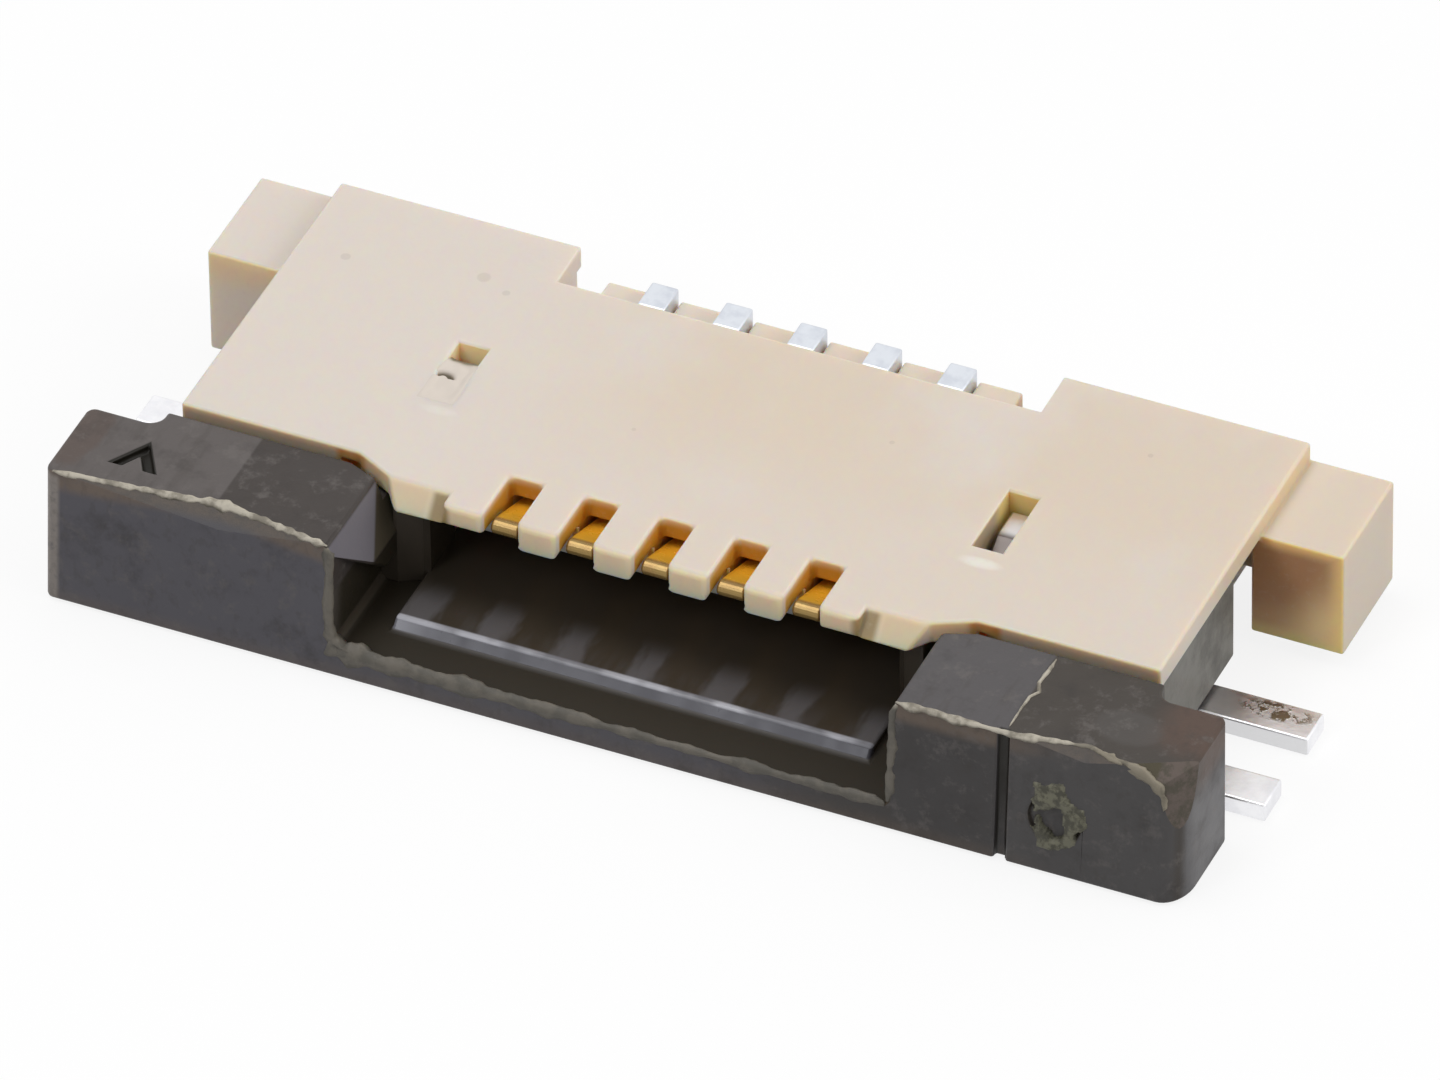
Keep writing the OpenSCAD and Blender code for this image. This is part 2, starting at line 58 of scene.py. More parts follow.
slider_low, slider_high = node_box("slider")
FRONT = slider_low.y
SLIDER_LOW = slider_low.z
SLIDER_TOP = slider_high.z
SLIDER_HW = slider_high.x
PLATE_TOP = node_box("housing")[1].z
PLATE_UNDER = PLATE_TOP - 0.16
PLATE_HW = 3.25
BODY_HW = 2.9
MOUTH_HW = 1.85
FUNNEL_HW = 1.88
LIP_Z = 0.19
TONGUE_Z = 0.26
TONGUE_HW = 1.6
NOSE_Y = FRONT + 0.32
BLOCK_Y = FRONT + 0.79
COMB_Y = -1.32
COMB_HW = 1.38
CONTACTS = 5
PITCH = 0.5
SLOT_Y = -0.89
SLOT_HW = 0.115
# From the middle to just past the outermost slot
SLOTS_HW = 1.17
# The notches of the plate's front edge, left and right of the comb
NOTCH_X = (2.0, 2.2)
WINDOW_X = (1.735, 1.935)
WINDOW_Y = (-0.405, 0.165)
GROOVE = (2.55, 2.62)
# The mark of the first contact: its place along X, and behind the front
MARK_X = (-3.46, -3.1)
MARK_BACK = (0.15, 0.6)
# How far the slider's front face leans out at the board, and how deep behind it that fades
LEAN = 0.085
LEAN_DEPTH = 0.2
# The worn front top edges: where the wear starts, is deepest and ends, and how deep it is
WORN_LEFT = (-3.69, -2.6, -1.88)
WORN_RIGHT = (2.66, 3.12, 3.36)
WORN = 0.115
WORN_LESS = 0.65 * WORN
WORN_SLOPE = 0.76
# The heights between which the front's colour turns to that of the worn edge
EDGE_STRIP = (0.79, 0.88)
# Where the mould's inserts met on top of the blocks, and how soft that line is
INSERT_LEFT = -2.67
INSERT_RIGHT = 2.6
INSERT_SOFT = 0.01


# Camera, fitted to the photograph. Angles are in degrees.

CAMERA_AZIMUTH = 24.434
CAMERA_ELEVATION = 39.639
CAMERA_ROLL = -0.9016
CAMERA_DISTANCE = 128.2
# The middle of the slider's front, and how far right of it and above it the camera looks
CAMERA_AIM = Vector((0, -1.9, 0))
CAMERA_RIGHT = 0.672
CAMERA_UP = 1.2326
CAMERA_LENS = 528.4
CAMERA_SENSOR = 36
CAMERA_CLIP = 1


def add_camera():
    azimuth = math.radians(CAMERA_AZIMUTH)
    elevation = math.radians(CAMERA_ELEVATION)
    roll = math.radians(CAMERA_ROLL)
    right = Vector((math.cos(azimuth), math.sin(azimuth), 0))
    back = Vector((math.sin(azimuth) * math.cos(elevation), -math.cos(azimuth) * math.cos(elevation),
                   math.sin(elevation)))
    up = back.cross(right)
    target = CAMERA_AIM + CAMERA_RIGHT * right + CAMERA_UP * up
    side = math.cos(roll) * right + math.sin(roll) * up
    top = math.cos(roll) * up - math.sin(roll) * right
    data = bpy.data.cameras.new("camera")
    data.lens = CAMERA_LENS
    data.sensor_width = CAMERA_SENSOR
    data.clip_start = CAMERA_CLIP * MM
    camera = bpy.data.objects.new("camera", data)
    scene.collection.objects.link(camera)
    camera.matrix_world = Matrix((side, top, back)).transposed().to_4x4()
    camera.location = (target + CAMERA_DISTANCE * back) * MM
    scene.camera = camera


# Materials

class Nodes:
    """Short calls for the nodes of a material or a world."""

    def __init__(self, tree):
        self.tree = tree

    def add(self, kind, **settings):
        node = self.tree.nodes.new(kind)
        for key, value in settings.items():
            setattr(node, key, value)
        return node

    def feed(self, socket, value):
        """Links a socket to another one, or sets a number or colour on it."""
        if isinstance(value, bpy.types.NodeSocket):
            self.tree.links.new(value, socket)
        elif isinstance(value, tuple) and socket.type == "RGBA":
            socket.default_value = (*value, 1)
        else:
            socket.default_value = value

    def math(self, operation, a, b=0.0):
        node = self.add("ShaderNodeMath", operation=operation)
        self.feed(node.inputs[0], a)
        self.feed(node.inputs[1], b)
        return node.outputs[0]

    def blend(self, factor, a, b):
        """Colour a where the factor is 0, and b where it is 1."""
        node = self.add("ShaderNodeMix", data_type="RGBA")
        self.feed(node.inputs[0], factor)
        self.feed(node.inputs[6], a)
        self.feed(node.inputs[7], b)
        return node.outputs[2]

    def end_in(self, output, share, a, b):
        """Ends the tree in two shaders, with a share of the second one."""
        both = self.add("ShaderNodeMixShader")
        self.feed(both.inputs[0], share)
        self.feed(both.inputs[1], a.outputs[0])
        self.feed(both.inputs[2], b.outputs[0])
        self.feed(self.tree.nodes[output].inputs["Surface"], both.outputs[0])


class Finish(Nodes):
    """A principled material, whose places are in millimetres."""

    def __init__(self, name, roughness=0.4, metallic=0.0):
        self.material = bpy.data.materials.new(name)
        self.material.use_nodes = True
        super().__init__(self.material.node_tree)
        self.shader = self.tree.nodes["Principled BSDF"]
        self.shader.inputs["Roughness"].default_value = roughness
        self.shader.inputs["Metallic"].default_value = metallic
        scaled = self.add("ShaderNodeVectorMath", operation="SCALE")
        self.feed(scaled.inputs[0], self.add("ShaderNodeTexCoord").outputs["Object"])
        scaled.inputs["Scale"].default_value = 1 / MM
        self.place = scaled.outputs[0]
        self.x, self.y, self.z = self.axes(self.place)

    def axes(self, vector):
        node = self.add("ShaderNodeSeparateXYZ")
        self.feed(node.inputs[0], vector)
        return node.outputs

    def normal(self):
        return self.axes(self.add("ShaderNodeTexCoord").outputs["Normal"])

    def times(self, *values):
        total = values[0]
        for value in values[1:]:
            total = self.math("MULTIPLY", total, value)
        return total

    def rise(self, value, start, end):
        """0 at start and 1 at end, smooth between."""
        node = self.add("ShaderNodeMapRange", interpolation_type="SMOOTHSTEP")
        self.feed(node.inputs["Value"], value)
        node.inputs["From Min"].default_value = start
        node.inputs["From Max"].default_value = end
        return node.outputs[0]

    def within(self, value, low, high, soft):
        """1 between low and high, with soft ends."""
        start = self.rise(value, low - soft, low + soft)
        end = self.rise(value, high + soft, high - soft)
        return self.times(start, end)

    def noise(self, scale, detail=3.0, rough=0.5, stretch=(1, 1, 1)):
        """Noise from 0 to 1, with about as many lumps per millimetre as the scale says."""
        where = self.add("ShaderNodeVectorMath", operation="MULTIPLY")
        self.feed(where.inputs[0], self.place)
        where.inputs[1].default_value = stretch
        node = self.add("ShaderNodeTexNoise")
        self.feed(node.inputs["Vector"], where.outputs[0])
        node.inputs["Scale"].default_value = scale
        node.inputs["Detail"].default_value = detail
        node.inputs["Roughness"].default_value = rough
        return node.outputs[0]

    def spot(self, x, y, reach_x, reach_y, ragged, edge=2.2, middle=1.0):
        """A soft spot seen from above, 1 in its middle, with a ragged edge."""
        across = self.math("DIVIDE", self.math("SUBTRACT", self.x, x), reach_x)
        along = self.math("DIVIDE", self.math("SUBTRACT", self.y, y), reach_y)
        square = self.math("ADD", self.math("POWER", self.math("ABSOLUTE", across), 2.0),
                           self.math("POWER", self.math("ABSOLUTE", along), 2.0))
        return self.rise(self.math("ADD", square, self.math("MULTIPLY", ragged, 2.0)), edge, middle)

    def paint(self, colour, coat, *masks):
        """Lays a coat over a colour, as strongly as the masks say together."""
        return self.blend(self.times(*masks), colour, coat)

    def between(self, factor, a, b):
        """Number a where the factor is 0, and b where it is 1."""
        node = self.add("ShaderNodeMix", data_type="FLOAT")
        self.feed(node.inputs[0], factor)
        self.feed(node.inputs[2], a)
        self.feed(node.inputs[3], b)
        return node.outputs[0]

    def shade(self, reach):
        """1 on open faces, falling to 0 deep in a recess."""
        node = self.add("ShaderNodeAmbientOcclusion", samples=8, only_local=True)
        node.inputs["Distance"].default_value = reach * MM
        return node.outputs["AO"]

    def behind(self):
        """On the slider: how far behind its leaning front face."""
        out = self.times(self.math("SUBTRACT", SLIDER_TOP, self.z), LEAN / (SLIDER_TOP - SLIDER_LOW))
        return self.math("SUBTRACT", self.math("ADD", self.y, out), FRONT)

    def edge_level(self, behind):
        """On the slider: the height, counted so that the worn top edge is level."""
        level = self.math("ADD", self.z, self.times(behind, WORN_SLOPE))
        for (start, deep, end), depth in ((WORN_LEFT, WORN), (WORN_RIGHT, WORN_LESS)):
            worn = self.times(self.rise(self.x, start, deep), self.rise(self.x, end, deep),
                              WORN_SLOPE * depth)
            level = self.math("SUBTRACT", level, worn)
        return level

    def bump(self, height, depth, strength=0.6):
        node = self.add("ShaderNodeBump")
        node.inputs["Strength"].default_value = strength
        node.inputs["Distance"].default_value = depth * MM
        self.feed(node.inputs["Height"], height)
        self.feed(self.shader.inputs["Normal"], node.outputs[0])

    def colour(self, value):
        self.feed(self.shader.inputs["Base Color"], value)

    def roughness(self, value):
        self.feed(self.shader.inputs["Roughness"], value)


# The housing's cream resin

CREAM = (0.712, 0.645, 0.58)
TAN = (0.70, 0.602, 0.495)
HIGHLIGHT_PALE = (0.80, 0.77, 0.70)
SPECK = (0.34, 0.28, 0.23)
FRONT_GLOW = (0.86, 0.75, 0.54)
COMB_STEP_SHADE = (0.34, 0.24, 0.09)
BAND_SHADE_HIGH = (0.6, 0.52, 0.38)
BAND_SHADE_LOW = (0.56, 0.47, 0.34)
SHOULDER_SHADE = (0.66, 0.5, 0.27)
NOTCH_GLOW = (0.55, 0.27, 0.045)
SIDE_EDGE_SHADE = (0.76, 0.6, 0.36)
SLOT_GLOW = (0.7, 0.58, 0.37)
SLOT_SHADE = (0.6, 0.31, 0.035)
WINDOW_GLOW_LEFT = (0.9, 0.8, 0.5)
WINDOW_GLOW_RIGHT = (0.76, 0.63, 0.27)
WINDOW_SHADE = (0.42, 0.35, 0.31)
RECESS_GLOW = (0.9, 0.48, 0.05)
EAR_SHADE_BROWN = (0.50, 0.26, 0.12)
EAR_LIT = (0.9, 0.68, 0.36)
EAR_RIM_LIT = (0.9, 0.72, 0.32)
EAR_LEFT_LIT_LOW = (0.88, 0.78, 0.65)
EAR_LEFT_LIT_HIGH = (0.95, 0.76, 0.5)
# Painted highlights on the plate: place, reach each way and strength
PLATE_HIGHLIGHTS = ((-1.775, -0.5, 0.09, 0.03, 0.4), (1.85, -0.545, 0.1, 0.036, 0.9))
# Specks on the plate: place and reach
SPECKS = ((-2.92, 0.64, 0.025), (-2.05, 0.79, 0.035), (-1.86, 0.7, 0.02), (-0.6, -0.2, 0.012),
          (0.9, 0.3, 0.014), (2.4, 0.8, 0.015))
# How far light spreads in the resin, and how deep a recess has to be to take the painted amber glow and shade
GLOW_RADIUS = (1.0, 0.55, 0.2)
GLOW_SCALE = 0.13
RECESS_REACH = 0.32
# How far a painted recess reaches past its walls
OVER = 0.015


def ear_colour(f, right):
    """The ears' front faces in painted light and shade: taupe at the left, and at the right painted brown
    shade, with a painted lit rim.
    """
    light = f.math("ADD", f.rise(f.x, 3.25, 3.85), f.rise(f.z, 0.75, 0.1))
    brown = f.blend(f.rise(light, 0.5, 1.7), EAR_SHADE_BROWN, EAR_LIT)
    rim = f.math("MAXIMUM", f.rise(f.x, 3.66, 3.78), f.rise(f.z, 0.23, 0.12))
    rim = f.math("MAXIMUM", rim, f.times(f.rise(f.z, 0.76, 0.86), f.rise(f.x, 3.2, 3.35)))
    brown = f.paint(brown, EAR_RIM_LIT, rim, 0.8)
    taupe = f.blend(f.rise(f.z, 0.55, 0.8), EAR_LEFT_LIT_LOW, EAR_LEFT_LIT_HIGH)
    return f.blend(right, taupe, brown)


def housing_finish():
    """Cream resin, warmer towards the right and back, with painted highlights and specks on the plate, and
    painted glow and shade on its edges, recesses and ears.
    """
    f = Finish("moulded_cream")
    top = f.rise(f.z, PLATE_TOP - 0.03, PLATE_TOP - 0.015)
    under_top = f.rise(f.z, PLATE_TOP - 0.006, PLATE_TOP - 0.035)
    across = f.math("ABSOLUTE", f.x)
    right = f.rise(f.x, -1, 1)
    broad = f.noise(0.9, 3, 0.55)
    fine = f.noise(22, 4, 0.6)
    back = f.between(f.rise(f.y, -0.9, 0.4), 0.45, 1.0)
    colour = f.paint(CREAM, TAN, f.rise(f.x, -2.0, -0.2), back, f.rise(broad, 0.2, 0.55))
    ragged = f.math("SUBTRACT", f.noise(9, 3, 0.6), 0.5)
    # Painted highlights, pale patches on the plate
    for x, y, reach_x, reach_y, share in PLATE_HIGHLIGHTS:
        painted_sheen = f.spot(x, y, reach_x, reach_y, ragged, edge=2.8, middle=0.1)
        colour = f.paint(colour, HIGHLIGHT_PALE, painted_sheen, top, share)
    for x, y, reach in SPECKS:
        colour = f.paint(colour, SPECK, f.spot(x, y, reach, reach, ragged), top, 0.2)
    # Painted glow and shade: thin edges and recesses are painted yellow to amber, for light coming through
    # the resin and shade falling in them
    face_x, face_y = f.normal()[:2]
    front = f.rise(face_y, -0.5, -0.85)
    # Painted yellow glow on the front faces of the fingers and the plate
    colour = f.paint(colour, FRONT_GLOW, front, f.rise(f.z, PLATE_UNDER - 0.06, PLATE_UNDER - 0.02))
    # Painted amber shade in the steps beside the comb
    step = f.within(across, COMB_HW - 0.04, COMB_HW + 0.1, 0.03)
    colour = f.paint(colour, COMB_STEP_SHADE, step, under_top, f.rise(f.y, -1.12, -1.16), 0.9)
    # Painted shade on the plate's front edge over the blocks
    shaded_band = f.times(f.rise(across, NOTCH_X[1] - 0.08, NOTCH_X[1]), front,
                   f.rise(across, PLATE_HW + 0.02, PLATE_HW))
    colour = f.paint(colour, BAND_SHADE_HIGH, shaded_band, f.rise(f.z, PLATE_TOP, PLATE_TOP - 0.03), 0.8)
    colour = f.paint(colour, BAND_SHADE_LOW, shaded_band, f.rise(f.z, PLATE_TOP - 0.02, PLATE_TOP - 0.06))
    # Painted shade on the shoulders' front faces
    shoulder = f.within(across, COMB_HW + 0.12, NOTCH_X[0], 0.03)
    colour = f.paint(colour, SHOULDER_SHADE, shoulder, front, under_top, 0.5)
    # Painted amber glow in the notches
    notch = f.within(across, *NOTCH_X, 0.03)
    colour = f.paint(colour, NOTCH_GLOW, notch, front, under_top, 0.85)
    # Painted shade along the plate's side edges, towards the back
    edge = f.within(across, PLATE_HW - 0.02, PLATE_HW + 0.02, 0.01)
    colour = f.paint(colour, SIDE_EDGE_SHADE, edge, under_top, f.rise(f.y, -0.3, 0.7), 0.8)
    # Painted glow on the slots' walls, turning to painted shade deeper down
    from_slot = f.math("PINGPONG", across, PITCH / 2)
    slot = f.times(f.rise(from_slot, SLOT_HW + 0.05, SLOT_HW + 0.02),
                   f.within(f.y, COMB_Y + 0.04, SLOT_Y + 0.03, 0.01),
                   f.rise(across, SLOTS_HW + 0.03, SLOTS_HW), under_top)
    slot_glow_and_shade = f.blend(f.rise(f.z, PLATE_TOP - 0.012, PLATE_TOP - 0.08), SLOT_GLOW, SLOT_SHADE)
    colour = f.paint(colour, slot_glow_and_shade, slot)
    # Painted glow on the windows' walls
    window = f.times(f.within(across, WINDOW_X[0] - OVER, WINDOW_X[1] + OVER, 0.01), under_top,
                     f.within(f.y, WINDOW_Y[0] - OVER, WINDOW_Y[1] + OVER, 0.01))
    colour = f.paint(colour, f.blend(right, WINDOW_GLOW_LEFT, WINDOW_GLOW_RIGHT), window)
    # Painted shade on the right window's left wall
    beside = f.times(window, f.rise(face_x, 0.5, 0.9), f.rise(f.x, 0, 1), f.rise(f.y, 0.04, -0.08))
    colour = f.paint(colour, WINDOW_SHADE, beside, 0.85)
    # Painted amber glow and shade deep in recesses, less in the windows
    recess = f.rise(f.shade(RECESS_REACH), 0.55, 0.2)
    colour = f.paint(colour, RECESS_GLOW, recess, f.math("SUBTRACT", 1.0, f.times(window, 0.8)), 0.9)
    # Painted light and shade on the ears' front faces
    ear = f.times(f.rise(across, PLATE_HW - 0.08, PLATE_HW - 0.06), front, f.rise(f.y, 0.3, 0.45))
    colour = f.paint(colour, ear_colour(f, right), ear)
    f.colour(f.paint(colour, TAN, f.rise(fine, 0.5, 0.8), 0.2))
    f.roughness(f.between(fine, 0.4, 0.6))
    f.shader.inputs["Subsurface Weight"].default_value = 1.0
    f.shader.inputs["Subsurface Radius"].default_value = GLOW_RADIUS
    f.shader.inputs["Subsurface Scale"].default_value = GLOW_SCALE * MM
    f.bump(f.math("ADD", fine, f.times(f.noise(3.5, 2), 2.0)), depth=0.002, strength=0.5)
    return f.material


# The slider's dark resin

LEFT_END = (0.1, 0.088, 0.084)
LEFT_MID = (0.047, 0.039, 0.035)
RIGHT_MID = (0.085, 0.079, 0.081)
RIGHT_END = (0.051, 0.043, 0.036)
FRONT_LIGHT_LEFT = (0.094, 0.09, 0.102)
FRONT_LIGHT_RIGHT = (0.052, 0.048, 0.047)
FRONT_LIGHT_END = (0.074, 0.07, 0.069)
LEFT_CORNER_HIGHLIGHT = (0.27, 0.24, 0.215)
RIGHT_SIDE_LIT = (0.125, 0.122, 0.125)
ARM_LIT = (0.165, 0.16, 0.142)
RUSSET = (0.09, 0.058, 0.044)
OLIVE = (0.165, 0.125, 0.095)
WORN_GREY = (0.085, 0.078, 0.073)
CLOUD = (0.035, 0.031, 0.029)
SCUFF = (0.14, 0.126, 0.118)
STREAK = (0.05, 0.042, 0.036)
FLANK_LIT = (0.165, 0.155, 0.175)
FLANK_SHADOW = (0.06, 0.05, 0.033)
FLANK_RIGHT_SHADE = (0.06, 0.046, 0.03)
MOUTH_SHADE_FRONT = (0.06, 0.052, 0.044)
MOUTH_SHADE_BACK = (0.022, 0.018, 0.011)
CHEEK_SHADE = (0.011, 0.009, 0.005)
PIT_SHADE = (0.01, 0.008, 0.005)
# Stains on top of the blocks: colour, place along X and behind the front, and reach each way
TOP_SPOTS = ((RUSSET, -3.72, 0.45, 0.12, 0.3), (WORN_GREY, 3.26, 0.33, 0.17, 0.12))
# How far in front of the part's middle the slanting edge of the painted shadow on the mouth's left flank
# would meet the board
SLANT = 2.14
DARK_SPECULAR = 0.3


def mouth_sides(f, colour, behind, face_z):
    """Paints light and shade on the mouth's sides: pale painted light in front, olive painted shadow behind a
    slanting line, and painted shade on the right flank, below and deep inside.
    """
    across = f.math("ABSOLUTE", f.x)
    funnel = f.times(f.rise(across, FUNNEL_HW - 0.003, FUNNEL_HW - 0.012),
                     f.within(face_z, 0.15, 0.75, 0.1))
    # Painted light in front of the slanting line and painted shadow behind it, on the left flank
    slant = f.math("SUBTRACT", f.y, f.math("SUBTRACT", f.z, SLANT))
    flank = f.blend(f.rise(slant, -0.02, 0.02), FLANK_LIT, FLANK_SHADOW)
    colour = f.paint(colour, flank, funnel, f.rise(f.x, 1, -1))
    # Painted shade on the right flank
    colour = f.paint(colour, FLANK_RIGHT_SHADE, funnel, f.rise(f.x, -1, 1))
    # Painted shade below the cheeks, darker further back
    dark = f.blend(f.rise(behind, 0.03, 0.2), MOUTH_SHADE_FRONT, MOUTH_SHADE_BACK)
    colour = f.paint(colour, dark, f.rise(across, FUNNEL_HW, FUNNEL_HW - 0.02), f.rise(f.z, 0.62, 0.58),
                     f.rise(behind, 0.01, 0.03))
    # Painted shade deep inside the mouth
    return f.paint(colour, CHEEK_SHADE, f.rise(across, FUNNEL_HW - 0.1, FUNNEL_HW - 0.13),
                   f.rise(f.y, BLOCK_Y - 0.12, BLOCK_Y - 0.06))


def slider_finish():
    """Scuffed dark resin, in a different tone on each side of the lines where the mould's inserts met, with
    painted light and shade: fronts in painted light of their own, lit sides turned to the right, a highlight
    at the left end, and shade in the pits and the mouth.
    """
    f = Finish("moulded_dark")
    grain = f.noise(34, 4, 0.65)
    cloud = f.noise(2.6, 5, 0.65)
    blotch = f.noise(7, 4, 0.7)
    streak = f.noise(9, 3, 0.6, (1.5, 0.3, 1))
    face_x, face_y, face_z = f.normal()
    behind = f.behind()
    left_insert = f.rise(f.x, INSERT_LEFT - INSERT_SOFT, INSERT_LEFT + INSERT_SOFT)
    right_insert = f.rise(f.x, INSERT_RIGHT - INSERT_SOFT, INSERT_RIGHT + INSERT_SOFT)
    colour = f.blend(left_insert, LEFT_END, LEFT_MID)
    colour = f.paint(colour, RIGHT_MID, f.rise(f.x, 0.9, 1.2))
    colour = f.paint(colour, RIGHT_END, right_insert)
    # The front faces, in painted light of their own apart from the tops: bluer, lighter at the left and
    # darker at the right; olive along their worn top edge and at the board
    face = f.blend(f.rise(f.x, 0.6, 1.6), FRONT_LIGHT_LEFT, FRONT_LIGHT_RIGHT)
    face = f.paint(face, FRONT_LIGHT_END, f.rise(f.x, 2.5, 2.7))
    at_board = f.times(f.rise(f.z, 0.14, 0.02), 0.4)
    strip = f.math("MAXIMUM", f.rise(f.edge_level(behind), *EDGE_STRIP), at_board)
    face = f.paint(face, OLIVE, strip, 0.85, f.rise(blotch, 0.1, 0.5), f.rise(f.x, 3.1, 2.4))
    colour = f.paint(colour, face, f.rise(face_y, -0.55, -0.85))
    # Painted highlight along the left end's top edge
    colour = f.paint(colour, LEFT_CORNER_HIGHLIGHT, f.rise(f.x, -3.66, -3.7), f.rise(f.z, 0.95, 0.9),
                     f.rise(blotch, 0.2, 0.5))
    colour = f.paint(colour, RUSSET, f.rise(f.x, 3.3, 3.55), f.rise(behind, 0.1, 0.35),
                     f.rise(cloud, 0.3, 0.55), f.rise(f.z, 0.5, 0.8))
    on_top = f.rise(f.z, SLIDER_TOP - 0.03, SLIDER_TOP - 0.01)
    ragged = f.math("SUBTRACT", blotch, 0.5)
    for coat, x, back, reach_x, reach_y in TOP_SPOTS:
        spot = f.spot(x, FRONT + back, reach_x, reach_y, ragged)
        colour = f.paint(colour, coat, spot, on_top, 0.5)
    # Painted light on the right end's side face
    colour = f.paint(colour, RIGHT_SIDE_LIT, f.rise(face_x, 0.6, 0.95), f.rise(f.x, 3.72, 3.76),
                     f.rise(f.z, 0.85, 0.6))
    # Painted light on the sides turned to the right, at the arms
    colour = f.paint(colour, ARM_LIT, f.rise(face_x, 0.6, 0.9), f.rise(f.y, -1.2, -1.05))
    # Scuffs all over
    colour = f.paint(colour, CLOUD, f.rise(cloud, 0.5, 0.75), 0.55)
    colour = f.paint(colour, SCUFF, f.rise(blotch, 0.52, 0.72), 0.5)
    colour = f.paint(colour, STREAK, f.rise(streak, 0.52, 0.7), 0.25)
    colour = mouth_sides(f, colour, behind, face_z)
    # Painted shade in the groove and in the recessed mark
    groove = f.times(f.within(f.x, *GROOVE, 0.006), f.within(behind, 0.01, 0.04, 0.006))
    mark = f.times(f.within(f.x, *MARK_X, 0.02), f.rise(f.z, SLIDER_TOP - 0.001, SLIDER_TOP - 0.006),
                   f.within(f.y, FRONT + MARK_BACK[0], FRONT + MARK_BACK[1], 0.02), f.rise(f.z, 0.8, 0.85))
    f.colour(f.paint(colour, PIT_SHADE, f.math("MAXIMUM", groove, mark)))
    f.roughness(f.between(f.rise(cloud, 0.3, 0.7), 0.42, 0.58))
    f.shader.inputs["Specular IOR Level"].default_value = DARK_SPECULAR
    f.bump(f.math("ADD", f.times(grain, 0.6), blotch), depth=0.004, strength=0.5)
    return f.material


BROKEN_OLIVE = (0.055, 0.046, 0.03)
BROKEN_RUSSET = (0.105, 0.08, 0.066)
HOLLOW_SHADE = (0.05, 0.04, 0.018)
WORN_OLIVE = (0.088, 0.07, 0.055)
WORN_DARK = (0.066, 0.056, 0.048)
WORN_LOW = (0.056, 0.053, 0.058)


def broken_finish():
    """Where the slider's edges are worn or broken off: olive at the left, russet at the right with the
    painted shade of a hollow.
    """
    f = Finish("broken_dark", roughness=0.6)
    patch = f.noise(11, 4, 0.7)
    right = f.blend(f.rise(patch, 0.36, 0.6), BROKEN_OLIVE, BROKEN_RUSSET)
    # Painted shade of a hollow in the broken corner
    hollow_shade = f.spot(3.5, FRONT + 0.06, 0.06, 0.06, f.math("SUBTRACT", patch, 0.5))
    right = f.paint(right, HOLLOW_SHADE, hollow_shade)
    left = f.blend(f.rise(patch, 0.35, 0.65), WORN_OLIVE, WORN_DARK)
    left = f.paint(left, WORN_LOW, f.rise(f.edge_level(f.behind()), *reversed(EDGE_STRIP)))
    f.colour(f.blend(f.rise(f.x, 3.2, 3.4), left, right))
    f.bump(patch, depth=0.01)
    return f.material


GLOSS_DARK = (0.042, 0.034, 0.023)
GLOSS_BROWN = (0.06, 0.048, 0.036)
LOW_DARK = (0.024, 0.019, 0.012)
LOW_GREY = (0.062, 0.059, 0.062)
TONGUE_SHEEN = (0.075, 0.068, 0.066)
TONGUE_STRIPE_SHEEN = (0.125, 0.118, 0.122)
NOSE_DARK = (0.05, 0.048, 0.056)
NOSE_HIGHLIGHT = (0.2, 0.2, 0.22)
HIGHLIGHT_LINE_DULL = (0.22, 0.22, 0.24)
HIGHLIGHT_LINE_BRIGHT = (0.5, 0.5, 0.54)


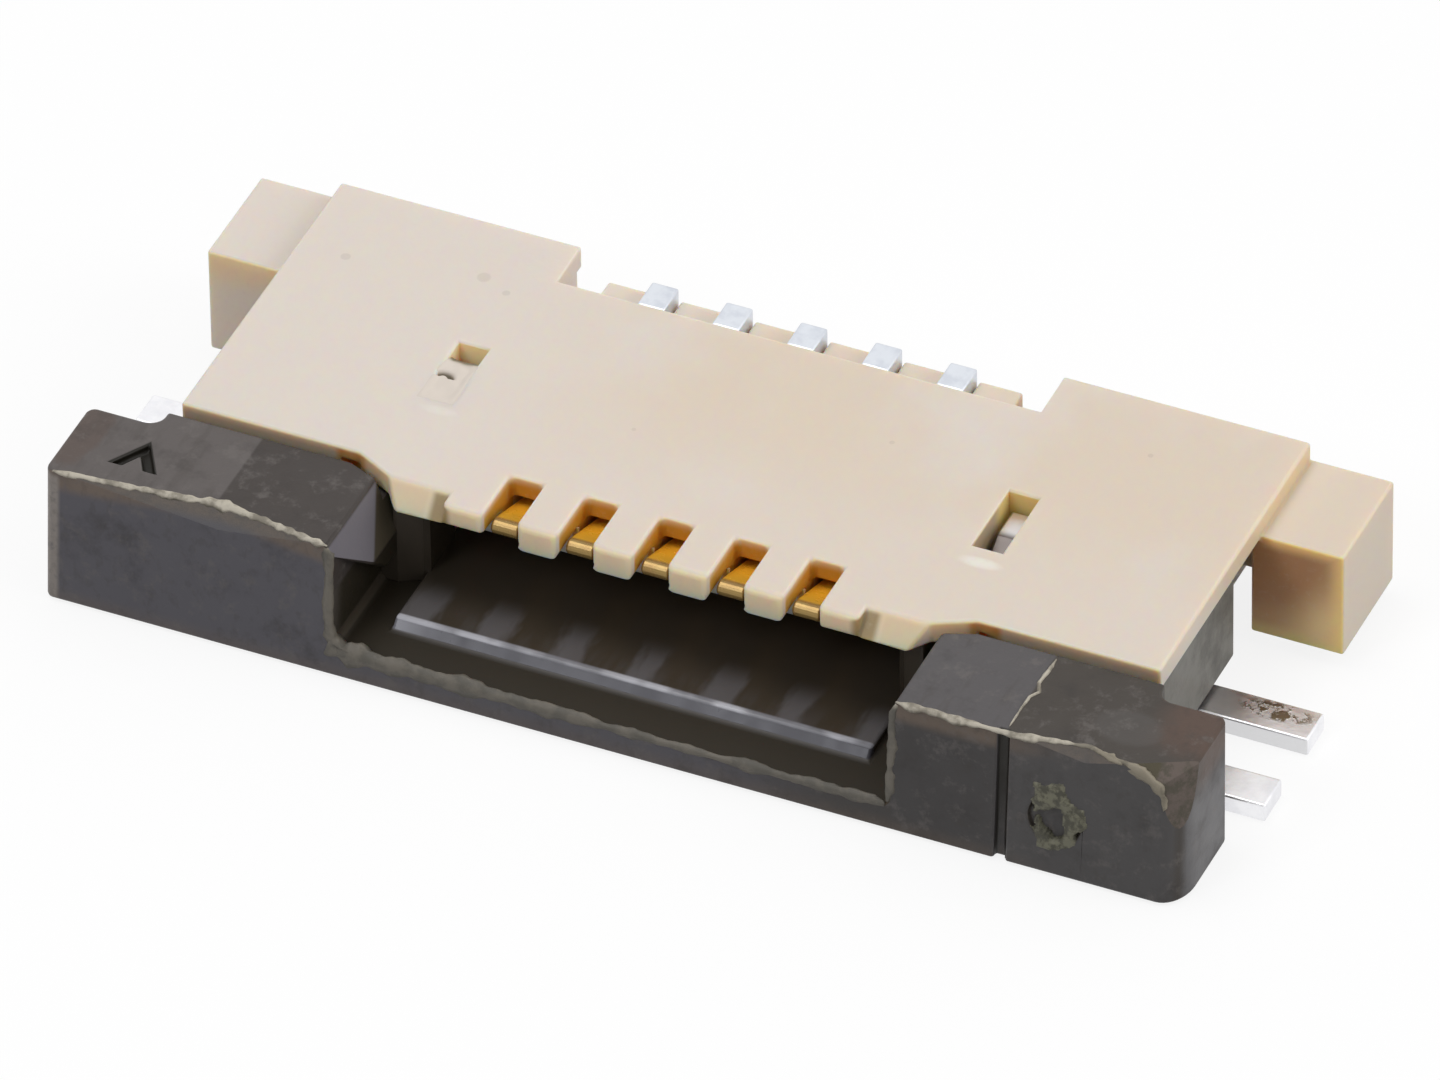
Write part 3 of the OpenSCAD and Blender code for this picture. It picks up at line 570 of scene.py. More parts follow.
def polished_finish():
    """The glossy mouth and tongue, with painted reflections: lighter grey patches along the tongue's front,
    stripes in line with the contacts, and highlights on the nose.
    """
    f = Finish("polished_dark")
    across = f.math("ABSOLUTE", f.x)
    streaky = f.noise(4, 3, 0.6, (1.4, 0.4, 1))
    on_top = f.rise(f.z, TONGUE_Z - 0.02, TONGUE_Z - 0.01)
    on_floor = f.rise(f.z, LIP_Z + 0.012, LIP_Z + 0.004)
    on_tongue = f.rise(across, TONGUE_HW, TONGUE_HW - 0.01)
    colour = f.blend(f.noise(2, 2), GLOSS_DARK, GLOSS_BROWN)
    colour = f.paint(colour, LOW_DARK, on_floor)
    colour = f.paint(colour, LOW_GREY, f.rise(f.y, NOSE_Y - 0.1, NOSE_Y - 0.01), on_floor,
                     f.rise(across, TONGUE_HW, TONGUE_HW - 0.05))
    # Painted reflection: lighter grey patches along the tongue's front
    colour = f.paint(colour, TONGUE_SHEEN, f.rise(f.y, NOSE_Y + 0.3, NOSE_Y), f.rise(streaky, 0.4, 0.65),
                     on_top, 0.6)
    # Painted reflections, in stripes along the tongue in line with the contacts
    from_contact = f.math("PINGPONG", f.math("SUBTRACT", f.x, 0.03), PITCH / 2)
    ragged = f.times(f.math("SUBTRACT", streaky, 0.5), 0.3)
    painted_sheen = f.rise(f.math("ADD", from_contact, ragged), 0.13, 0.05)
    colour = f.paint(colour, TONGUE_STRIPE_SHEEN, painted_sheen, f.rise(f.y, -1.15, -1.4), on_top, 0.75)
    # The nose, with painted highlights: a bright line along its edge, and paler towards its left end
    nose = f.times(f.within(f.z, LIP_Z + 0.012, TONGUE_Z, 0.006), f.rise(f.y, NOSE_Y + 0.03, NOSE_Y + 0.015),
                   on_tongue)
    colour = f.paint(colour, f.blend(f.rise(f.x, -1.25, -1.55), NOSE_DARK, NOSE_HIGHLIGHT), nose)
    line = f.times(f.within(f.z, TONGUE_Z - 0.012, TONGUE_Z + 0.01, 0.004),
                   f.rise(f.y, NOSE_Y + 0.04, NOSE_Y + 0.02), on_tongue)
    bright = f.math("MAXIMUM", f.rise(f.noise(3.2, 2), 0.42, 0.62), f.rise(f.x, -1.1, -1.4))
    f.colour(f.paint(colour, f.blend(bright, HIGHLIGHT_LINE_DULL, HIGHLIGHT_LINE_BRIGHT), line, 0.9))
    tongue = f.times(f.rise(across, TONGUE_HW + 0.01, TONGUE_HW - 0.01),
                     f.rise(f.z, LIP_Z + 0.005, LIP_Z + 0.015))
    glossy = f.between(f.noise(3, 2), 0.1, 0.2)
    rubbed = f.between(f.rise(streaky, 0.3, 0.7), 0.27, 0.36)
    f.roughness(f.between(tongue, 0.5, f.between(nose, glossy, rubbed)))
    f.shader.inputs["Specular IOR Level"].default_value = DARK_SPECULAR
    f.bump(f.noise(12, 3), depth=0.001, strength=0.3)
    return f.material


# The contacts and the solder tabs

GOLD = (0.32, 0.21, 0.062)
GOLD_WORN = (0.3, 0.18, 0.055)
REFLECTED_AMBER_FRONT = (0.64, 0.35, 0.028)
REFLECTED_AMBER_BACK = (1.0, 0.5, 0.03)
TIN = (0.72, 0.75, 0.8)
TIN_WORN = (0.63, 0.66, 0.72)


def contact_finish():
    """Gold in front, tin at the back, and between the slots' walls amber, a painted reflection of the walls.
    """
    f = Finish("gold_and_tin")
    wear = f.noise(9, 3, 0.6)
    line = f.math("ADD", f.y, f.times(f.math("SUBTRACT", wear, 0.5), 0.3))
    tinned = f.rise(line, 0.55, 0.7)
    inside = f.rise(f.y, COMB_Y + 0.13, COMB_Y + 0.17)
    gold = f.blend(f.rise(wear, 0.35, 0.7), GOLD, GOLD_WORN)
    # Painted reflection of the amber walls on the gold between them
    reflected_amber = f.blend(f.rise(f.y, COMB_Y + 0.17, SLOT_Y - 0.05), REFLECTED_AMBER_FRONT, REFLECTED_AMBER_BACK)
    gold = f.paint(gold, reflected_amber, inside)
    tin = f.blend(f.rise(wear, 0.4, 0.7), TIN, TIN_WORN)
    f.colour(f.blend(tinned, gold, tin))
    f.feed(f.shader.inputs["Metallic"], f.between(tinned, f.between(inside, 0.45, 0.1), 1.0))
    brushed = f.between(f.noise(40, 2, 0.5, (1, 0.1, 1)), 0.34, 0.5)
    f.roughness(f.between(tinned, f.between(wear, 0.2, 0.34), brushed))
    f.bump(f.noise(40, 3, 0.6, (1, 0.12, 1)), depth=0.001, strength=0.3)
    return f.material


TAB_BRIGHT = (0.95, 0.95, 0.97)
TAB_CLOUD = (0.83, 0.83, 0.86)
BLADE_SLOPE_SHADE = (0.13, 0.108, 0.098)
BLADE_TOP_SHADE = (0.72, 0.7, 0.7)
FOOT_FRONT_SHADE = (0.72, 0.72, 0.73)
STAIN = (0.24, 0.19, 0.13)


def tab_finish():
    """Tin, with a brown stain on one foot, and painted shade on the blade and on the feet's front faces."""
    f = Finish("tinned", metallic=1.0)
    cloud = f.noise(5, 4, 0.6)
    blotch = f.noise(13, 4, 0.7)
    on_blade = f.rise(f.z, 0.5, 0.55)
    colour = f.blend(f.rise(cloud, 0.35, 0.7), TAB_BRIGHT, TAB_CLOUD)
    # Painted shade on the blade: dark on its front slope, a little darker on its top
    colour = f.paint(colour, BLADE_SLOPE_SHADE, on_blade, f.rise(f.y, -0.02, -0.12), 0.95)
    colour = f.paint(colour, BLADE_TOP_SHADE, on_blade, f.rise(f.y, -0.12, -0.02))
    face_y = f.normal()[1]
    # Painted shade on the feet's front faces
    colour = f.paint(colour, FOOT_FRONT_SHADE, f.rise(face_y, -0.5, -0.85), f.rise(f.z, 0.3, 0.2),
                     f.rise(f.y, -0.6, -0.5))
    spot = f.spot(3.65, -0.18, 0.19, 0.065, f.math("SUBTRACT", blotch, 0.5))
    stain = f.times(spot, f.rise(blotch, 0.46, 0.56))
    f.colour(f.paint(colour, STAIN, stain))
    f.roughness(f.between(f.noise(30, 3, 0.6, (0.2, 1, 1)), 0.24, 0.42))
    f.bump(f.math("ADD", f.noise(24, 3), f.times(stain, 1.5)), depth=0.002, strength=0.5)
    return f.material


# Flash, run resin and the gate

FLASH_PALE = (0.47, 0.43, 0.35)
FLASH_DULL = (0.2, 0.178, 0.138)
TORN_PALE = (0.24, 0.21, 0.155)
TORN_DULL = (0.12, 0.105, 0.075)
KHAKI_PALE = (0.15, 0.134, 0.108)
KHAKI_DULL = (0.098, 0.09, 0.073)
RUN_TOP = (0.655, 0.585, 0.515)
RUN_CRACK_SHADE = (0.2, 0.17, 0.12)
GATE_OLIVE = (0.16, 0.154, 0.105)
GATE_DARK = (0.05, 0.047, 0.03)


def flash_finish():
    """Torn resin: pale on the top edges, duller at the broken corner, khaki round the mouth."""
    f = Finish("torn_edge", roughness=0.6)
    patch = f.noise(7, 4, 0.6)
    pale = f.blend(f.rise(patch, 0.42, 0.62), FLASH_PALE, FLASH_DULL)
    torn = f.blend(f.rise(patch, 0.42, 0.62), TORN_PALE, TORN_DULL)
    khaki = f.blend(f.rise(patch, 0.4, 0.62), KHAKI_PALE, KHAKI_DULL)
    light = f.blend(f.rise(f.x, 3.05, 3.2), pale, torn)
    f.colour(f.paint(light, khaki, f.rise(f.z, 0.95, 0.9), f.rise(f.x, 3.0, 2.5)))
    f.bump(f.noise(50, 3, 0.6), depth=0.002)
    return f.material


def run_finish():
    """Cream resin that ran, with painted shade in its crack."""
    f = Finish("run_cream", roughness=0.5)
    # Painted shade, darker the deeper the resin lies
    f.colour(f.blend(f.rise(f.z, PLATE_TOP - 0.012, PLATE_TOP - 0.04), RUN_TOP, RUN_CRACK_SHADE))
    f.bump(f.noise(12, 3), depth=0.002, strength=0.5)
    return f.material


def gate_finish():
    """Torn resin, olive and dark in patches."""
    f = Finish("torn_gate", roughness=0.6)
    patch = f.noise(18, 4, 0.65)
    f.colour(f.blend(f.rise(patch, 0.4, 0.6), GATE_OLIVE, GATE_DARK))
    f.bump(patch, depth=0.004)
    return f.material


# Rounded copies of the solids

# Places of the slider's materials in its list
RESIN, POLISHED, BROKEN = 0, 1, 2
# Edges sharper than this are rounded, on resin and on metal, and edges flatter than the last look smooth.
# In degrees.
SHARP = 25
METAL_SHARP = 40
FLAT = 12
# Roundings of the housing's edges and of its fingers' ends, of the slider and of the metal
EDGE_ROUND = 0.018
TIP_ROUND = 0.042
SLIDER_ROUND = 0.02
METAL_ROUND = 0.014
# Points nearer than this are one, and points this near to a plane or place count as on it
JOIN = 0.0005
NEAR = 1e-4
TOUCH = 1e-5


def open_mesh(node):
    """The node's mesh in millimetres, with its flat faces whole."""
    bm = bmesh.new()
    bm.from_mesh(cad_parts[node].data)
    bmesh.ops.scale(bm, vec=(1 / MM, 1 / MM, 1 / MM), verts=bm.verts)
    bmesh.ops.remove_doubles(bm, verts=bm.verts, dist=JOIN)
    bmesh.ops.dissolve_limit(bm, angle_limit=math.radians(1), verts=bm.verts, edges=bm.edges)
    return bm


def crease(bm, angle=FLAT):
    """Keeps the edges between flat faces sharp, where they aren't rounded."""
    for e in bm.edges:
        e.smooth = e.calc_face_angle(0) < math.radians(angle)


def round_edges(bm, width, sharp, wanted):
    """Rounds the sharp edges that are wanted."""
    edges = []
    for e in bm.edges:
        middle = (e.verts[0].co + e.verts[1].co) / 2
        whole = len(e.link_faces) == 2 and all(f.material_index != BROKEN for f in e.link_faces)
        if whole and e.calc_face_angle(0) > math.radians(sharp) and wanted(middle):
            edges.append(e)
    bmesh.ops.bevel(bm, geom=edges, offset=width, offset_type="OFFSET", segments=3, profile=0.5,
                    affect="EDGES", clamp_overlap=False, miter_outer="SHARP", miter_inner="SHARP")


def lean(p):
    """Moves a point near the slider's front out, the more the nearer the board."""
    low = (SLIDER_TOP - p.z) / (SLIDER_TOP - SLIDER_LOW)
    near = 1 - (p.y - FRONT) / LEAN_DEPTH
    p.y -= LEAN * low * min(1.0, max(0.0, near))


def finish_piece(bm, name, materials, body, node=None, rounding=0.0):
    """Makes the object, and rounds its weighted edges where a rounding is given."""
    if body == "slider":
        for v in bm.verts:
            lean(v.co)
    bmesh.ops.recalc_face_normals(bm, faces=bm.faces)
    bmesh.ops.scale(bm, vec=(MM, MM, MM), verts=bm.verts)
    mesh = bpy.data.meshes.new(name)
    bm.to_mesh(mesh)
    bm.free()
    mesh.shade_smooth()
    obj = bpy.data.objects.new(name, mesh)
    scene.collection.objects.link(obj)
    if rounding:
        bevel = obj.modifiers.new("rounding", "BEVEL")
        bevel.limit_method = "WEIGHT"
        bevel.width = rounding * MM
        bevel.segments = 4
        bevel.use_clamp_overlap = False
    weighted = obj.modifiers.new("normals", "WEIGHTED_NORMAL")
    weighted.keep_sharp = True
    for material in materials:
        mesh.materials.append(material)
    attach(obj, body)
    if node:
        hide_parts(node)
    return obj


def housing_outside(p):
    """True where an edge of the housing is open to view, and not in the cavity or under the plate."""
    under_plate = p.z < PLATE_UNDER - 0.005
    in_body = abs(p.x) < BODY_HW + 0.01
    at_rear = p.y > 0.9
    at_foot = p.z < 0.04
    return not under_plate or not in_body or at_rear or at_foot


def comb_tip(p):
    """True at the fingers' ends and in the slots' back corners."""
    on_comb = p.z > PLATE_UNDER - 0.005 and abs(p.x) < COMB_HW + 0.01
    at_end = p.y < COMB_Y + 0.02
    in_corner = abs(p.y - SLOT_Y) < 0.01 and PLATE_UNDER + 0.01 < p.z < PLATE_TOP - 0.01
    return on_comb and (at_end or in_corner)


def add_housing():
    bm = open_mesh("housing")
    crease(bm)
    weight = bm.edges.layers.float.new("bevel_weight_edge")
    for e in bm.edges:
        middle = (e.verts[0].co + e.verts[1].co) / 2
        sharp = len(e.link_faces) == 2 and e.calc_face_angle(0) > math.radians(SHARP)
        if sharp and housing_outside(middle):
            e[weight] = 1.0 if comb_tip(middle) else EDGE_ROUND / TIP_ROUND
    finish_piece(bm, "housing_shell", [housing_finish()], "housing", "housing", TIP_ROUND)


def chip(bm, a, b, c, beyond, left, right):
    """Cuts off what lies beyond the plane through three points, between two places along X.

    Gives a test for the points in the cut.
    """
    no = (b - a).cross(c - a).normalized()
    if no.dot(beyond - a) < 0:
        no = -no

    def near(item):
        return all(left - NEAR < v.co.x < right + NEAR for v in item.verts)

    def in_cut(edge):
        return near(edge) and all(abs(no.dot(v.co - a)) < NEAR for v in edge.verts)

    faces = [f for f in bm.faces if near(f)]
    edges = dict.fromkeys(e for f in faces for e in f.edges)
    verts = dict.fromkeys(v for f in faces for v in f.verts)
    bmesh.ops.bisect_plane(bm, geom=[*verts, *edges, *faces], dist=TOUCH, plane_co=a, plane_no=no)
    gone = [f for f in bm.faces if near(f) and no.dot(f.calc_center_median() - a) > TOUCH]
    bmesh.ops.delete(bm, geom=gone, context="FACES")
    return in_cut


def close_cut(bm, in_cut):
    """Closes the hole that a cut left, with broken resin."""
    edges = [e for e in bm.edges if len(e.link_faces) < 2 and in_cut(e)]
    for f in bmesh.ops.edgeloop_fill(bm, edges=edges)["faces"]:
        f.material_index = BROKEN


def at(x, back=0.0, down=0.0):
    """A place on the slider, from its front top edge."""
    return Vector((x, FRONT + back, SLIDER_TOP - down))


def wear_edge(bm, start, deep, end, depth):
    """Takes a shallow wedge off the front top edge, deepest at one place between its ends."""
    for x in (start, deep, end):
        bmesh.ops.bisect_plane(bm, geom=bm.verts[:] + bm.edges[:] + bm.faces[:], dist=TOUCH,
                               plane_co=(x, 0, 0), plane_no=(1, 0, 0))
    behind = at(deep, depth)
    below = at(deep, 0, 0.9 * depth)
    cuts = [chip(bm, at(start), behind, below, at(deep), start, deep)]
    cuts.append(chip(bm, at(end), behind, below, at(deep), deep, end))
    bm.edges.new([min(bm.verts, key=lambda v: (v.co - p).length) for p in (behind, below)])
    for cut in cuts:
        close_cut(bm, cut)


def wear_slider(bm):
    """Wears the blocks' front top edges, and takes two chips off the last corner."""
    wear_edge(bm, *WORN_LEFT, WORN)
    wear_edge(bm, *WORN_RIGHT, WORN_LESS)
    start = WORN_RIGHT[2]
    end = SLIDER_HW
    close_cut(bm, chip(bm, at(start), at(end - 0.17, 0, 0.1), at(end - 0.1, 0.16), at(end), start, end))
    close_cut(bm, chip(bm, at(end - 0.2), at(end - 0.15, 0, 0.2), at(end, 0.2), at(end), start, end))


def in_mouth(p):
    """True on the mouth's floor and tongue, and on its inner walls."""
    floor = p.z < TONGUE_Z + 0.04 and p.y > FRONT + 0.012 and abs(p.x) < MOUTH_HW + 0.01
    walls = p.y > BLOCK_Y - 0.12 and abs(p.x) < MOUTH_HW - 0.08
    return floor or walls


def add_slider():
    bm = open_mesh("slider")
    wear_slider(bm)
    crease(bm)
    round_edges(bm, SLIDER_ROUND, SHARP, lambda p: abs(p.x) > MOUTH_HW or p.y < BLOCK_Y - 0.2)
    for f in bm.faces:
        if f.material_index == RESIN and in_mouth(f.calc_center_median()):
            f.material_index = POLISHED
    materials = [slider_finish(), polished_finish(), broken_finish()]
    finish_piece(bm, "slider_shell", materials, "slider", "slider")


def add_metal_piece(node, name, material):
    """A contact or a solder tab, with its edges rounded."""
    bm = open_mesh(node)
    crease(bm)
    round_edges(bm, METAL_ROUND, METAL_SHARP, lambda p: True)
    finish_piece(bm, name, [material], "housing", node)


def add_metal():
    gold = contact_finish()
    for i in range(1, CONTACTS + 1):
        add_metal_piece("contact_%d" % i, "contact_skin_%d" % i, gold)
    tin = tab_finish()
    for side in ("left", "right"):
        add_metal_piece("solder_tab_" + side, "tab_skin_" + side, tin)


# Moulding flash along the slider's edges

# The distance between its rings, how many rings its ends take to grow, and how far it stands proud
FLASH_STEP = 0.012
FLASH_EASE = 6
FLASH_PROUD = 0.008
# How deep its edges and its root lie in the resin
FLASH_SUNK = 0.002
FLASH_ROOT = 0.015


def along(points, step):
    """Points about a step apart along a line through the given points, each with its size."""
    line = []
    for (a, size_a), (b, size_b) in zip(points, points[1:]):
        count = max(1, round((b - a).length / step))
        line += [(a.lerp(b, i / count), size_a + (size_b - size_a) * i / count) for i in range(count)]
    return line + [points[-1]]


def add_flash(name, points, over, down, material, width, lift, seed, up=None, lumps=1.0):
    """A ragged ridge along a line, which spreads over two faces. Without up the line is their common edge."""
    over_up, down_up = (up, up) if up else (-down, -over)
    line = along(points, FLASH_STEP)

    def ragged(i, often, row):
        return noise.noise((i * often, seed * 1.7, row))

    bm = bmesh.new()
    rings = []
    for i, (p, size) in enumerate(line):
        ease = min(1.0, i / FLASH_EASE, (len(line) - 1 - i) / FLASH_EASE)
        swell = 1 + 0.7 * ragged(i, 0.05, 0) + 0.5 * lumps * ragged(i, 0.21, 3)
        size *= (0.4 + 0.6 * ease) * max(0.35, swell)
        wide = width * size * (1 + 0.5 * ragged(i, 0.11, 7) + 0.25 * lumps * ragged(i, 0.37, 9))
        low = width * size * (1.2 + 0.6 * ragged(i, 0.09, 13) + 0.25 * lumps * ragged(i, 0.37, 17))
        high = lift * size * (1 + 0.3 * lumps * ragged(i, 0.16, 21))
        ring = [
            p + over * wide - over_up * FLASH_SUNK,
            p + over * wide * 0.5 + over_up * high * 0.7,
            p + over_up * high + down_up * FLASH_PROUD * 0.5,
            p + down * low * 0.4 + down_up * FLASH_PROUD + over_up * high * 0.2,
            p + down * low - down_up * FLASH_SUNK,
            p - (over_up + down_up) * FLASH_ROOT,
        ]
        rings.append([bm.verts.new(q) for q in ring])
    for a, b in zip(rings, rings[1:]):
        for i in range(len(a)):
            j = (i + 1) % len(a)
            bm.faces.new((a[i], a[j], b[j], b[i]))
    bm.faces.new(rings[0])
    bm.faces.new(rings[-1])
    finish_piece(bm, name, [material], "slider")


def on(x, behind=0.0, drop=0.0, size=1.0):
    """A place on the slider, from its front top edge, with the size of the flash there."""
    return at(x, behind, drop), size


def add_top_flashes(material):
    """Along the worn top edges and the broken corner."""
    back = Vector((0, 1, 0))
    worn = Vector((0, -0.75, -0.66))
    x0, x1, x2 = WORN_LEFT
    top_left = [on(x0 - 0.03, 0, 0, 0.7), on(x1 - 0.4, 0.07), on(x1, WORN, 0, 1.4), on(x2)]
    add_flash("flash_top_left", top_left, back, worn, material, width=0.023, lift=0.01, seed=3)
    x0, x1, x2 = WORN_RIGHT
    top_right = [on(FUNNEL_HW), on(x0), on(x1, 0.075, 0, 1.3), on(x2)]
    add_flash("flash_top_right", top_right, back, worn, material, width=0.017, lift=0.012, seed=8)
    end = SLIDER_HW
    torn = [on(x1, 0.075, 0, 0.7), on(x2, 0.01), on(end - 0.27, 0, 0.035, 1.1), on(end - 0.17, 0, 0.11),
            on(end - 0.14, 0, 0.17, 1.1), on(end - 0.13, 0, 0.25)]
    add_flash("flash_torn_corner", torn, Vector((0.5, 0.8, 0.2)), Vector((-0.6, 0, -0.8)), material,
              width=0.03, lift=0.018, seed=12, lumps=1.6)


def add_mouth_flashes(material):
    """Round the mouth: down its sides, in its left corner and along its lip."""
    back = Vector((0, 1, 0))
    right = Vector((1, 0, 0))
    fall = Vector((0, 0, -1))
    side = [(FUNNEL_HW, 0.02), (MOUTH_HW, 0.08), (MOUTH_HW, 0.3), (MOUTH_HW, 0.5), (MOUTH_HW - 0.005, 0.6)]
    turn = [on(-1.83, 0, 0.67), on(-1.79, 0, 0.715), on(-1.72, 0, 0.74)]
    add_flash("flash_mouth_left", [on(-x, 0, drop) for x, drop in side] + turn, back, -right, material,
              width=0.055, lift=0.012, seed=21, lumps=0.4)
    corner = [on(-1.848, 0, 0.68), on(-1.84, 0, 0.74, 1.4), on(-1.8, 0, 0.765, 1.4), on(-1.74, 0, 0.77)]
    add_flash("flash_corner", corner, back, Vector((-0.7, 0, -0.7)), material,
              width=0.05, lift=0.02, seed=23, lumps=0.4)
    mouth_right = [on(x, 0, drop) for x, drop in side] + [on(1.845, 0, 0.74)]
    add_flash("flash_mouth_right", mouth_right, back, right, material, width=0.036, lift=0.012, seed=27)
    lip = [(-1.8, 1.7), (-1.5, 1.3), (-1.2, 1.15), (-0.75, 1.0), (0, 0.75), (0.43, 0.55), (0.9, 0.65),
           (1.3, 0.7), (1.83, 0.75)]
    add_flash("flash_lip", [on(x, 0, SLIDER_TOP - LIP_Z, size) for x, size in lip], back, fall, material,
              width=0.045, lift=0.06, seed=33, lumps=0.35)


def add_insert_flash(material):
    """On top of the right block, along the line where two inserts met."""
    right = Vector((1, 0, 0))
    zigzag = [(2.6, 0.06), (2.6, 0.25), (2.605, 0.36), (2.64, 0.42), (2.605, 0.5), (2.61, 0.6), (2.615, 0.74)]
    add_flash("flash_insert", [on(x, y) for x, y in zigzag], right, -right, material,
              width=0.009, lift=0.007, seed=41, up=Vector((0, 0, 1)))


def add_flashes():
    material = flash_finish()
    add_top_flashes(material)
    add_mouth_flashes(material)
    add_insert_flash(material)


# The torn ring where the slider was cut from its runner, round the dimple that the cut left

GATE = Vector((2.935, FRONT, 0.41))
GATE_R = 0.17
GATE_REACH = (0.185, 0.27)
GATE_GRID = (48, 64)
# How far its grid spreads, and the middle and width of the ring, as shares of its reach
GATE_SPAN = 1.5
GATE_RING = (0.66, 0.36)
# The least height of the ring that is kept, as a share of its full height
GATE_LEAST = 0.3
GATE_PROUD = 0.024
GATE_THICK = 0.006
# How deep its border lies in the dimple, and elsewhere
GATE_IN_DIMPLE = 0.031
GATE_SUNK = 0.004


def gate_height(u, w, p):
    """The ring's height as a share of its full height, lobed and ragged."""
    turn = math.atan2(w, u)
    lobes = 0.75 + 0.3 * math.cos(turn - 1.05) + 0.2 * math.cos(3 * turn)
    far = math.hypot(u, w) * (1 + 0.3 * noise.fractal((p - GATE) * 7, 1.0, 2.0, 3))
    rough = 1 + 0.5 * noise.fractal(p * 16, 0.9, 2.0, 4)
    return math.exp(-((far - GATE_RING[0]) / GATE_RING[1]) ** 2) * lobes * rough


def add_gate():
    columns, rows = GATE_GRID
    bm = bmesh.new()
    grid = []
    for j in range(rows + 1):
        row = []
        for i in range(columns + 1):
            u = 2 * GATE_SPAN * i / columns - GATE_SPAN
            w = 2 * GATE_SPAN * j / rows - GATE_SPAN
            p = GATE + Vector((u * GATE_REACH[0], 0, w * GATE_REACH[1]))
            ring = gate_height(u, w, p)
            p.y -= GATE_PROUD * ring - GATE_THICK
            row.append((bm.verts.new(p), ring))
        grid.append(row)
    for below, above in zip(grid, grid[1:]):
        for i in range(columns):
            cell = (below[i], below[i + 1], above[i + 1], above[i])
            if min(ring for v, ring in cell) > GATE_LEAST:
                bm.faces.new([v for v, ring in cell])
    bmesh.ops.delete(bm, geom=[v for v in bm.verts if not v.link_faces], context="VERTS")
    for v in bm.verts:
        if v.is_boundary:
            in_dimple = (v.co - GATE).length < GATE_R
            v.co.y = FRONT + (GATE_IN_DIMPLE if in_dimple else GATE_SUNK)
    bmesh.ops.solidify(bm, geom=bm.faces[:], thickness=GATE_THICK)
    finish_piece(bm, "gate_stub", [gate_finish()], "slider")


# Resin that ran into the left window over the tab's blade, with a crescent crack near its back

RUN_X = (-1.955, -1.715)
RUN_Y = (-0.425, 0.065)
RUN_GRID = (24, 48)
RUN_DEPTH = 0.11
# How far it stands proud of the plate, sinks inside the window and falls at its back
RUN_PROUD = 0.0006
RUN_SINK = 0.008
RUN_FALL = 0.06
# The width over which it starts to sink, and its waves per millimetre
RUN_SHORE = 0.03
RUN_WAVES = 14
# Edges flatter than this look smooth, in degrees
RUN_FLAT = 60
# The crack: the middle of its circle, the circle's radius, and the crack's width and depth
CRACK = Vector((-1.885, -0.2))
CRACK_R = 0.055
CRACK_WIDTH = 0.014
CRACK_DEPTH = 0.07


def run_height(x, y, border, back):
    """The resin's height. Back is 0 at its front and 1 at its back."""
    inside = min(x + WINDOW_X[1], -WINDOW_X[0] - x, y - WINDOW_Y[0]) / RUN_SHORE
    away = (Vector((x, y)) - CRACK).length
    crescent = math.exp(-((away - CRACK_R) / CRACK_WIDTH) ** 2) if y > CRACK.y + 0.01 else 0.0
    z = PLATE_TOP + (0.0 if border else RUN_PROUD) - CRACK_DEPTH * crescent - RUN_FALL * back ** 8
    waves = RUN_SINK * noise.noise((x * RUN_WAVES, y * RUN_WAVES, 0.0))
    return z + min(1.0, max(0.0, inside)) * (waves - RUN_SINK)


def add_window_flash():
    columns, steps = RUN_GRID
    bm = bmesh.new()
    tops, bottoms = [], []
    for j in range(steps + 1):
        top_row, bottom_row = [], []
        for i in range(columns + 1):
            x = RUN_X[0] + (RUN_X[1] - RUN_X[0]) * i / columns
            y = RUN_Y[0] + (RUN_Y[1] - RUN_Y[0]) * j / steps
            border = j == 0 or i in (0, columns)
            top_row.append(bm.verts.new((x, y, run_height(x, y, border, j / steps))))
            bottom_row.append(bm.verts.new((x, y, PLATE_TOP - RUN_DEPTH)))
        tops.append(top_row)
        bottoms.append(bottom_row)
    for j in range(steps):
        for i in range(columns):
            bm.faces.new((tops[j][i], tops[j][i + 1], tops[j + 1][i + 1], tops[j + 1][i]))
            bm.faces.new((bottoms[j][i], bottoms[j + 1][i], bottoms[j + 1][i + 1], bottoms[j][i + 1]))
        for i in (0, columns):
            bm.faces.new((tops[j][i], tops[j + 1][i], bottoms[j + 1][i], bottoms[j][i]))
    for j in (0, steps):
        for i in range(columns):
            bm.faces.new((tops[j][i], tops[j][i + 1], bottoms[j][i + 1], bottoms[j][i]))
    bmesh.ops.recalc_face_normals(bm, faces=bm.faces)
    crease(bm, RUN_FLAT)
    plug = finish_piece(bm, "window_flash", [run_finish()], "housing")
    # The thin resin lets light through to the plate round it
    plug.visible_shadow = False


# Floor, world and lamps

WHITE = (1, 1, 1)
FLOOR_SIZE = 600
FLOOR_DROP = 0.005
# The floor's colour for the light that it throws back, and as it is seen, with its share of plain white
FLOOR_LIT = (0.5, 0.5, 0.5)
FLOOR_SEEN = (0.92, 0.92, 0.92)
FLOOR_WHITE = 0.85
# The world's light at the horizon, how it grows along each axis, and its least
SKY_LEVEL = 0.33
SKY_SLOPE = (0.22, 0.3, 0.36)
SKY_LEAST = 0.05
LAMP_DISTANCE = 120
# A lamp's power is this many times its radiance times its area
LAMP_POWER = 4
# Each lamp's name, direction from the part, size, radiance and colour
LAMPS = (
    ("lamp_top", (-0.25, 0.0, 0.95), 50, 3.6, (1.0, 0.99, 0.97)),
    ("lamp_right", (0.85, 0.15, 0.5), 70, 1.9, (1.0, 0.98, 0.96)),
    ("lamp_front", (-0.32, -0.65, 0.69), 36, 5.5, (0.9, 0.92, 1.0)),
)


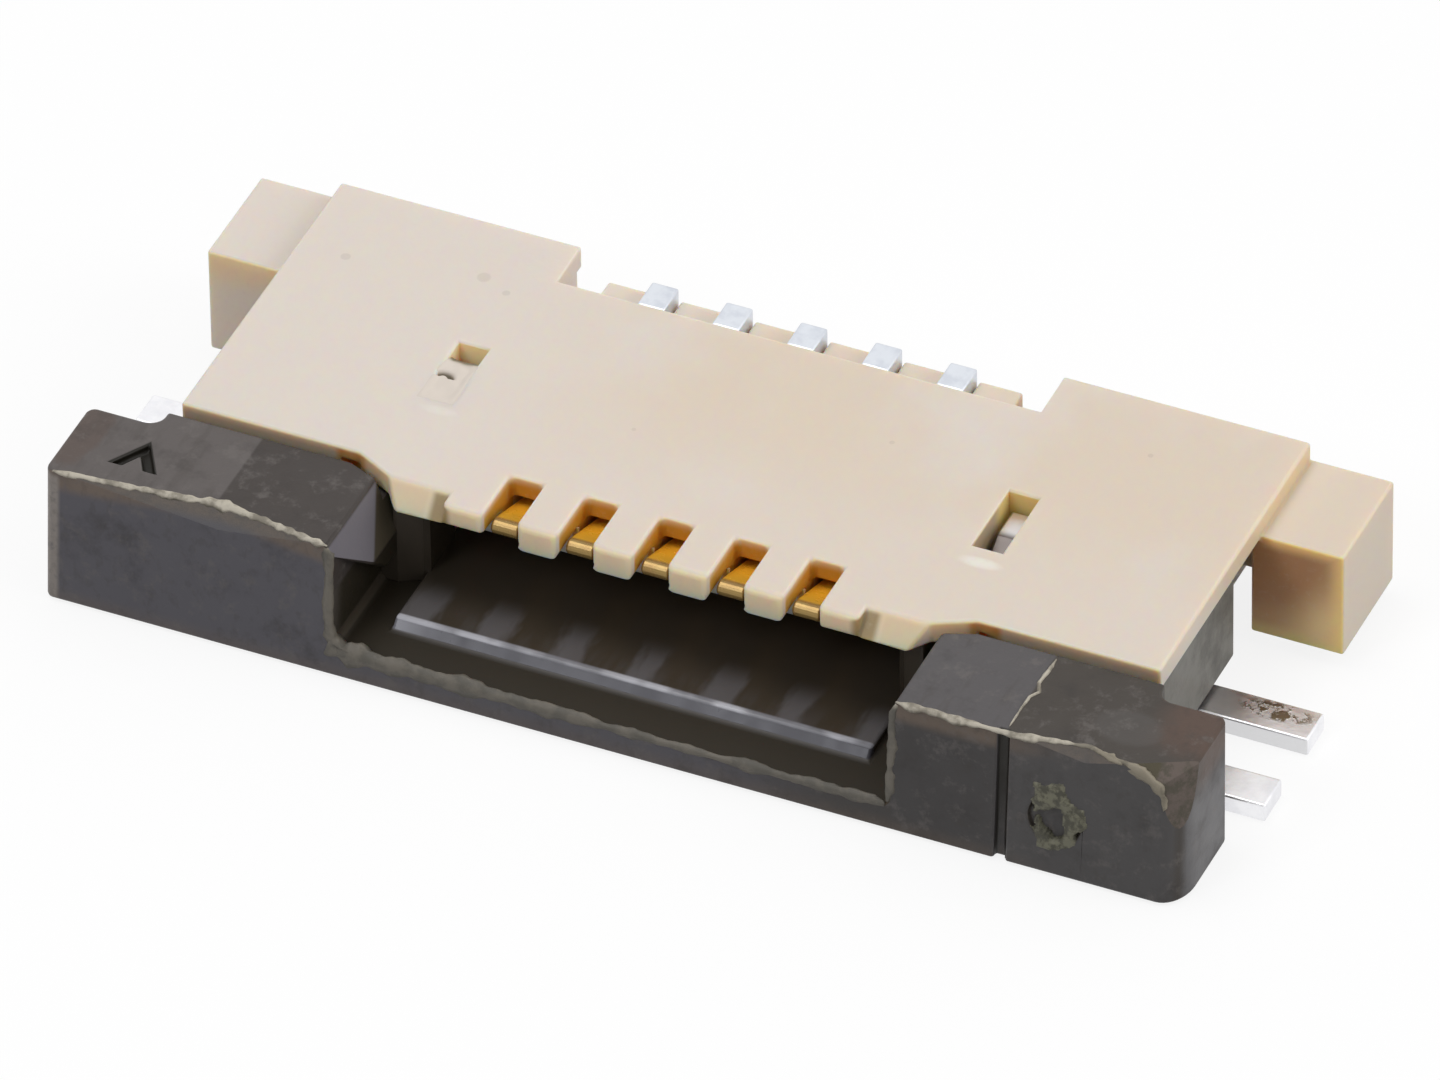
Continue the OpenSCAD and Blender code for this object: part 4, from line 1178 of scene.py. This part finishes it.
def seen_directly(n):
    """1 for rays from the camera and for mirrored and passed rays, which all see the white surroundings."""
    path = n.add("ShaderNodeLightPath").outputs
    total = path["Is Camera Ray"]
    for name in ("Is Glossy Ray", "Is Transmission Ray"):
        total = n.math("MAXIMUM", total, path[name])
    return total


def add_floor():
    bpy.ops.mesh.primitive_plane_add(size=FLOOR_SIZE * MM, location=(0, 0, -FLOOR_DROP * MM))
    floor = bpy.context.object
    floor.name = "floor"
    material = bpy.data.materials.new("paper")
    material.use_nodes = True
    n = Nodes(material.node_tree)
    n.tree.nodes.remove(n.tree.nodes["Principled BSDF"])
    seen = seen_directly(n)
    matt = n.add("ShaderNodeBsdfDiffuse")
    n.feed(matt.inputs["Color"], n.blend(seen, FLOOR_LIT, FLOOR_SEEN))
    white = n.add("ShaderNodeEmission")
    n.end_in("Material Output", n.math("MULTIPLY", seen, FLOOR_WHITE), matt, white)
    floor.data.materials.append(material)


def add_world():
    """White where it is seen; as light, bright above and at the back and right, and dim in front."""
    world = bpy.data.worlds.new("studio")
    scene.world = world
    world.use_nodes = True
    n = Nodes(world.node_tree)
    slope = n.add("ShaderNodeVectorMath", operation="DOT_PRODUCT")
    n.feed(slope.inputs[0], n.add("ShaderNodeTexCoord").outputs["Generated"])
    slope.inputs[1].default_value = SKY_SLOPE
    level = n.math("ADD", slope.outputs["Value"], SKY_LEVEL)
    light = n.tree.nodes["Background"]
    n.feed(light.inputs["Color"], WHITE)
    n.feed(light.inputs["Strength"], n.math("MAXIMUM", level, SKY_LEAST))
    white = n.add("ShaderNodeBackground")
    n.feed(white.inputs["Color"], WHITE)
    n.end_in("World Output", seen_directly(n), light, white)


def add_lamp(name, direction, size, radiance, colour):
    """A square soft lamp that looks at the part."""
    data = bpy.data.lights.new(name, "AREA")
    data.size = size * MM
    data.energy = LAMP_POWER * radiance * (size * MM) ** 2
    data.color = colour
    lamp = bpy.data.objects.new(name, data)
    scene.collection.objects.link(lamp)
    towards = Vector(direction).normalized()
    lamp.location = towards * LAMP_DISTANCE * MM
    lamp.rotation_euler = towards.to_track_quat("Z", "Y").to_euler()


add_camera()
add_housing()
add_window_flash()
add_slider()
add_metal()
add_flashes()
add_gate()
add_floor()
add_world()
for lamp in LAMPS:
    add_lamp(*lamp)
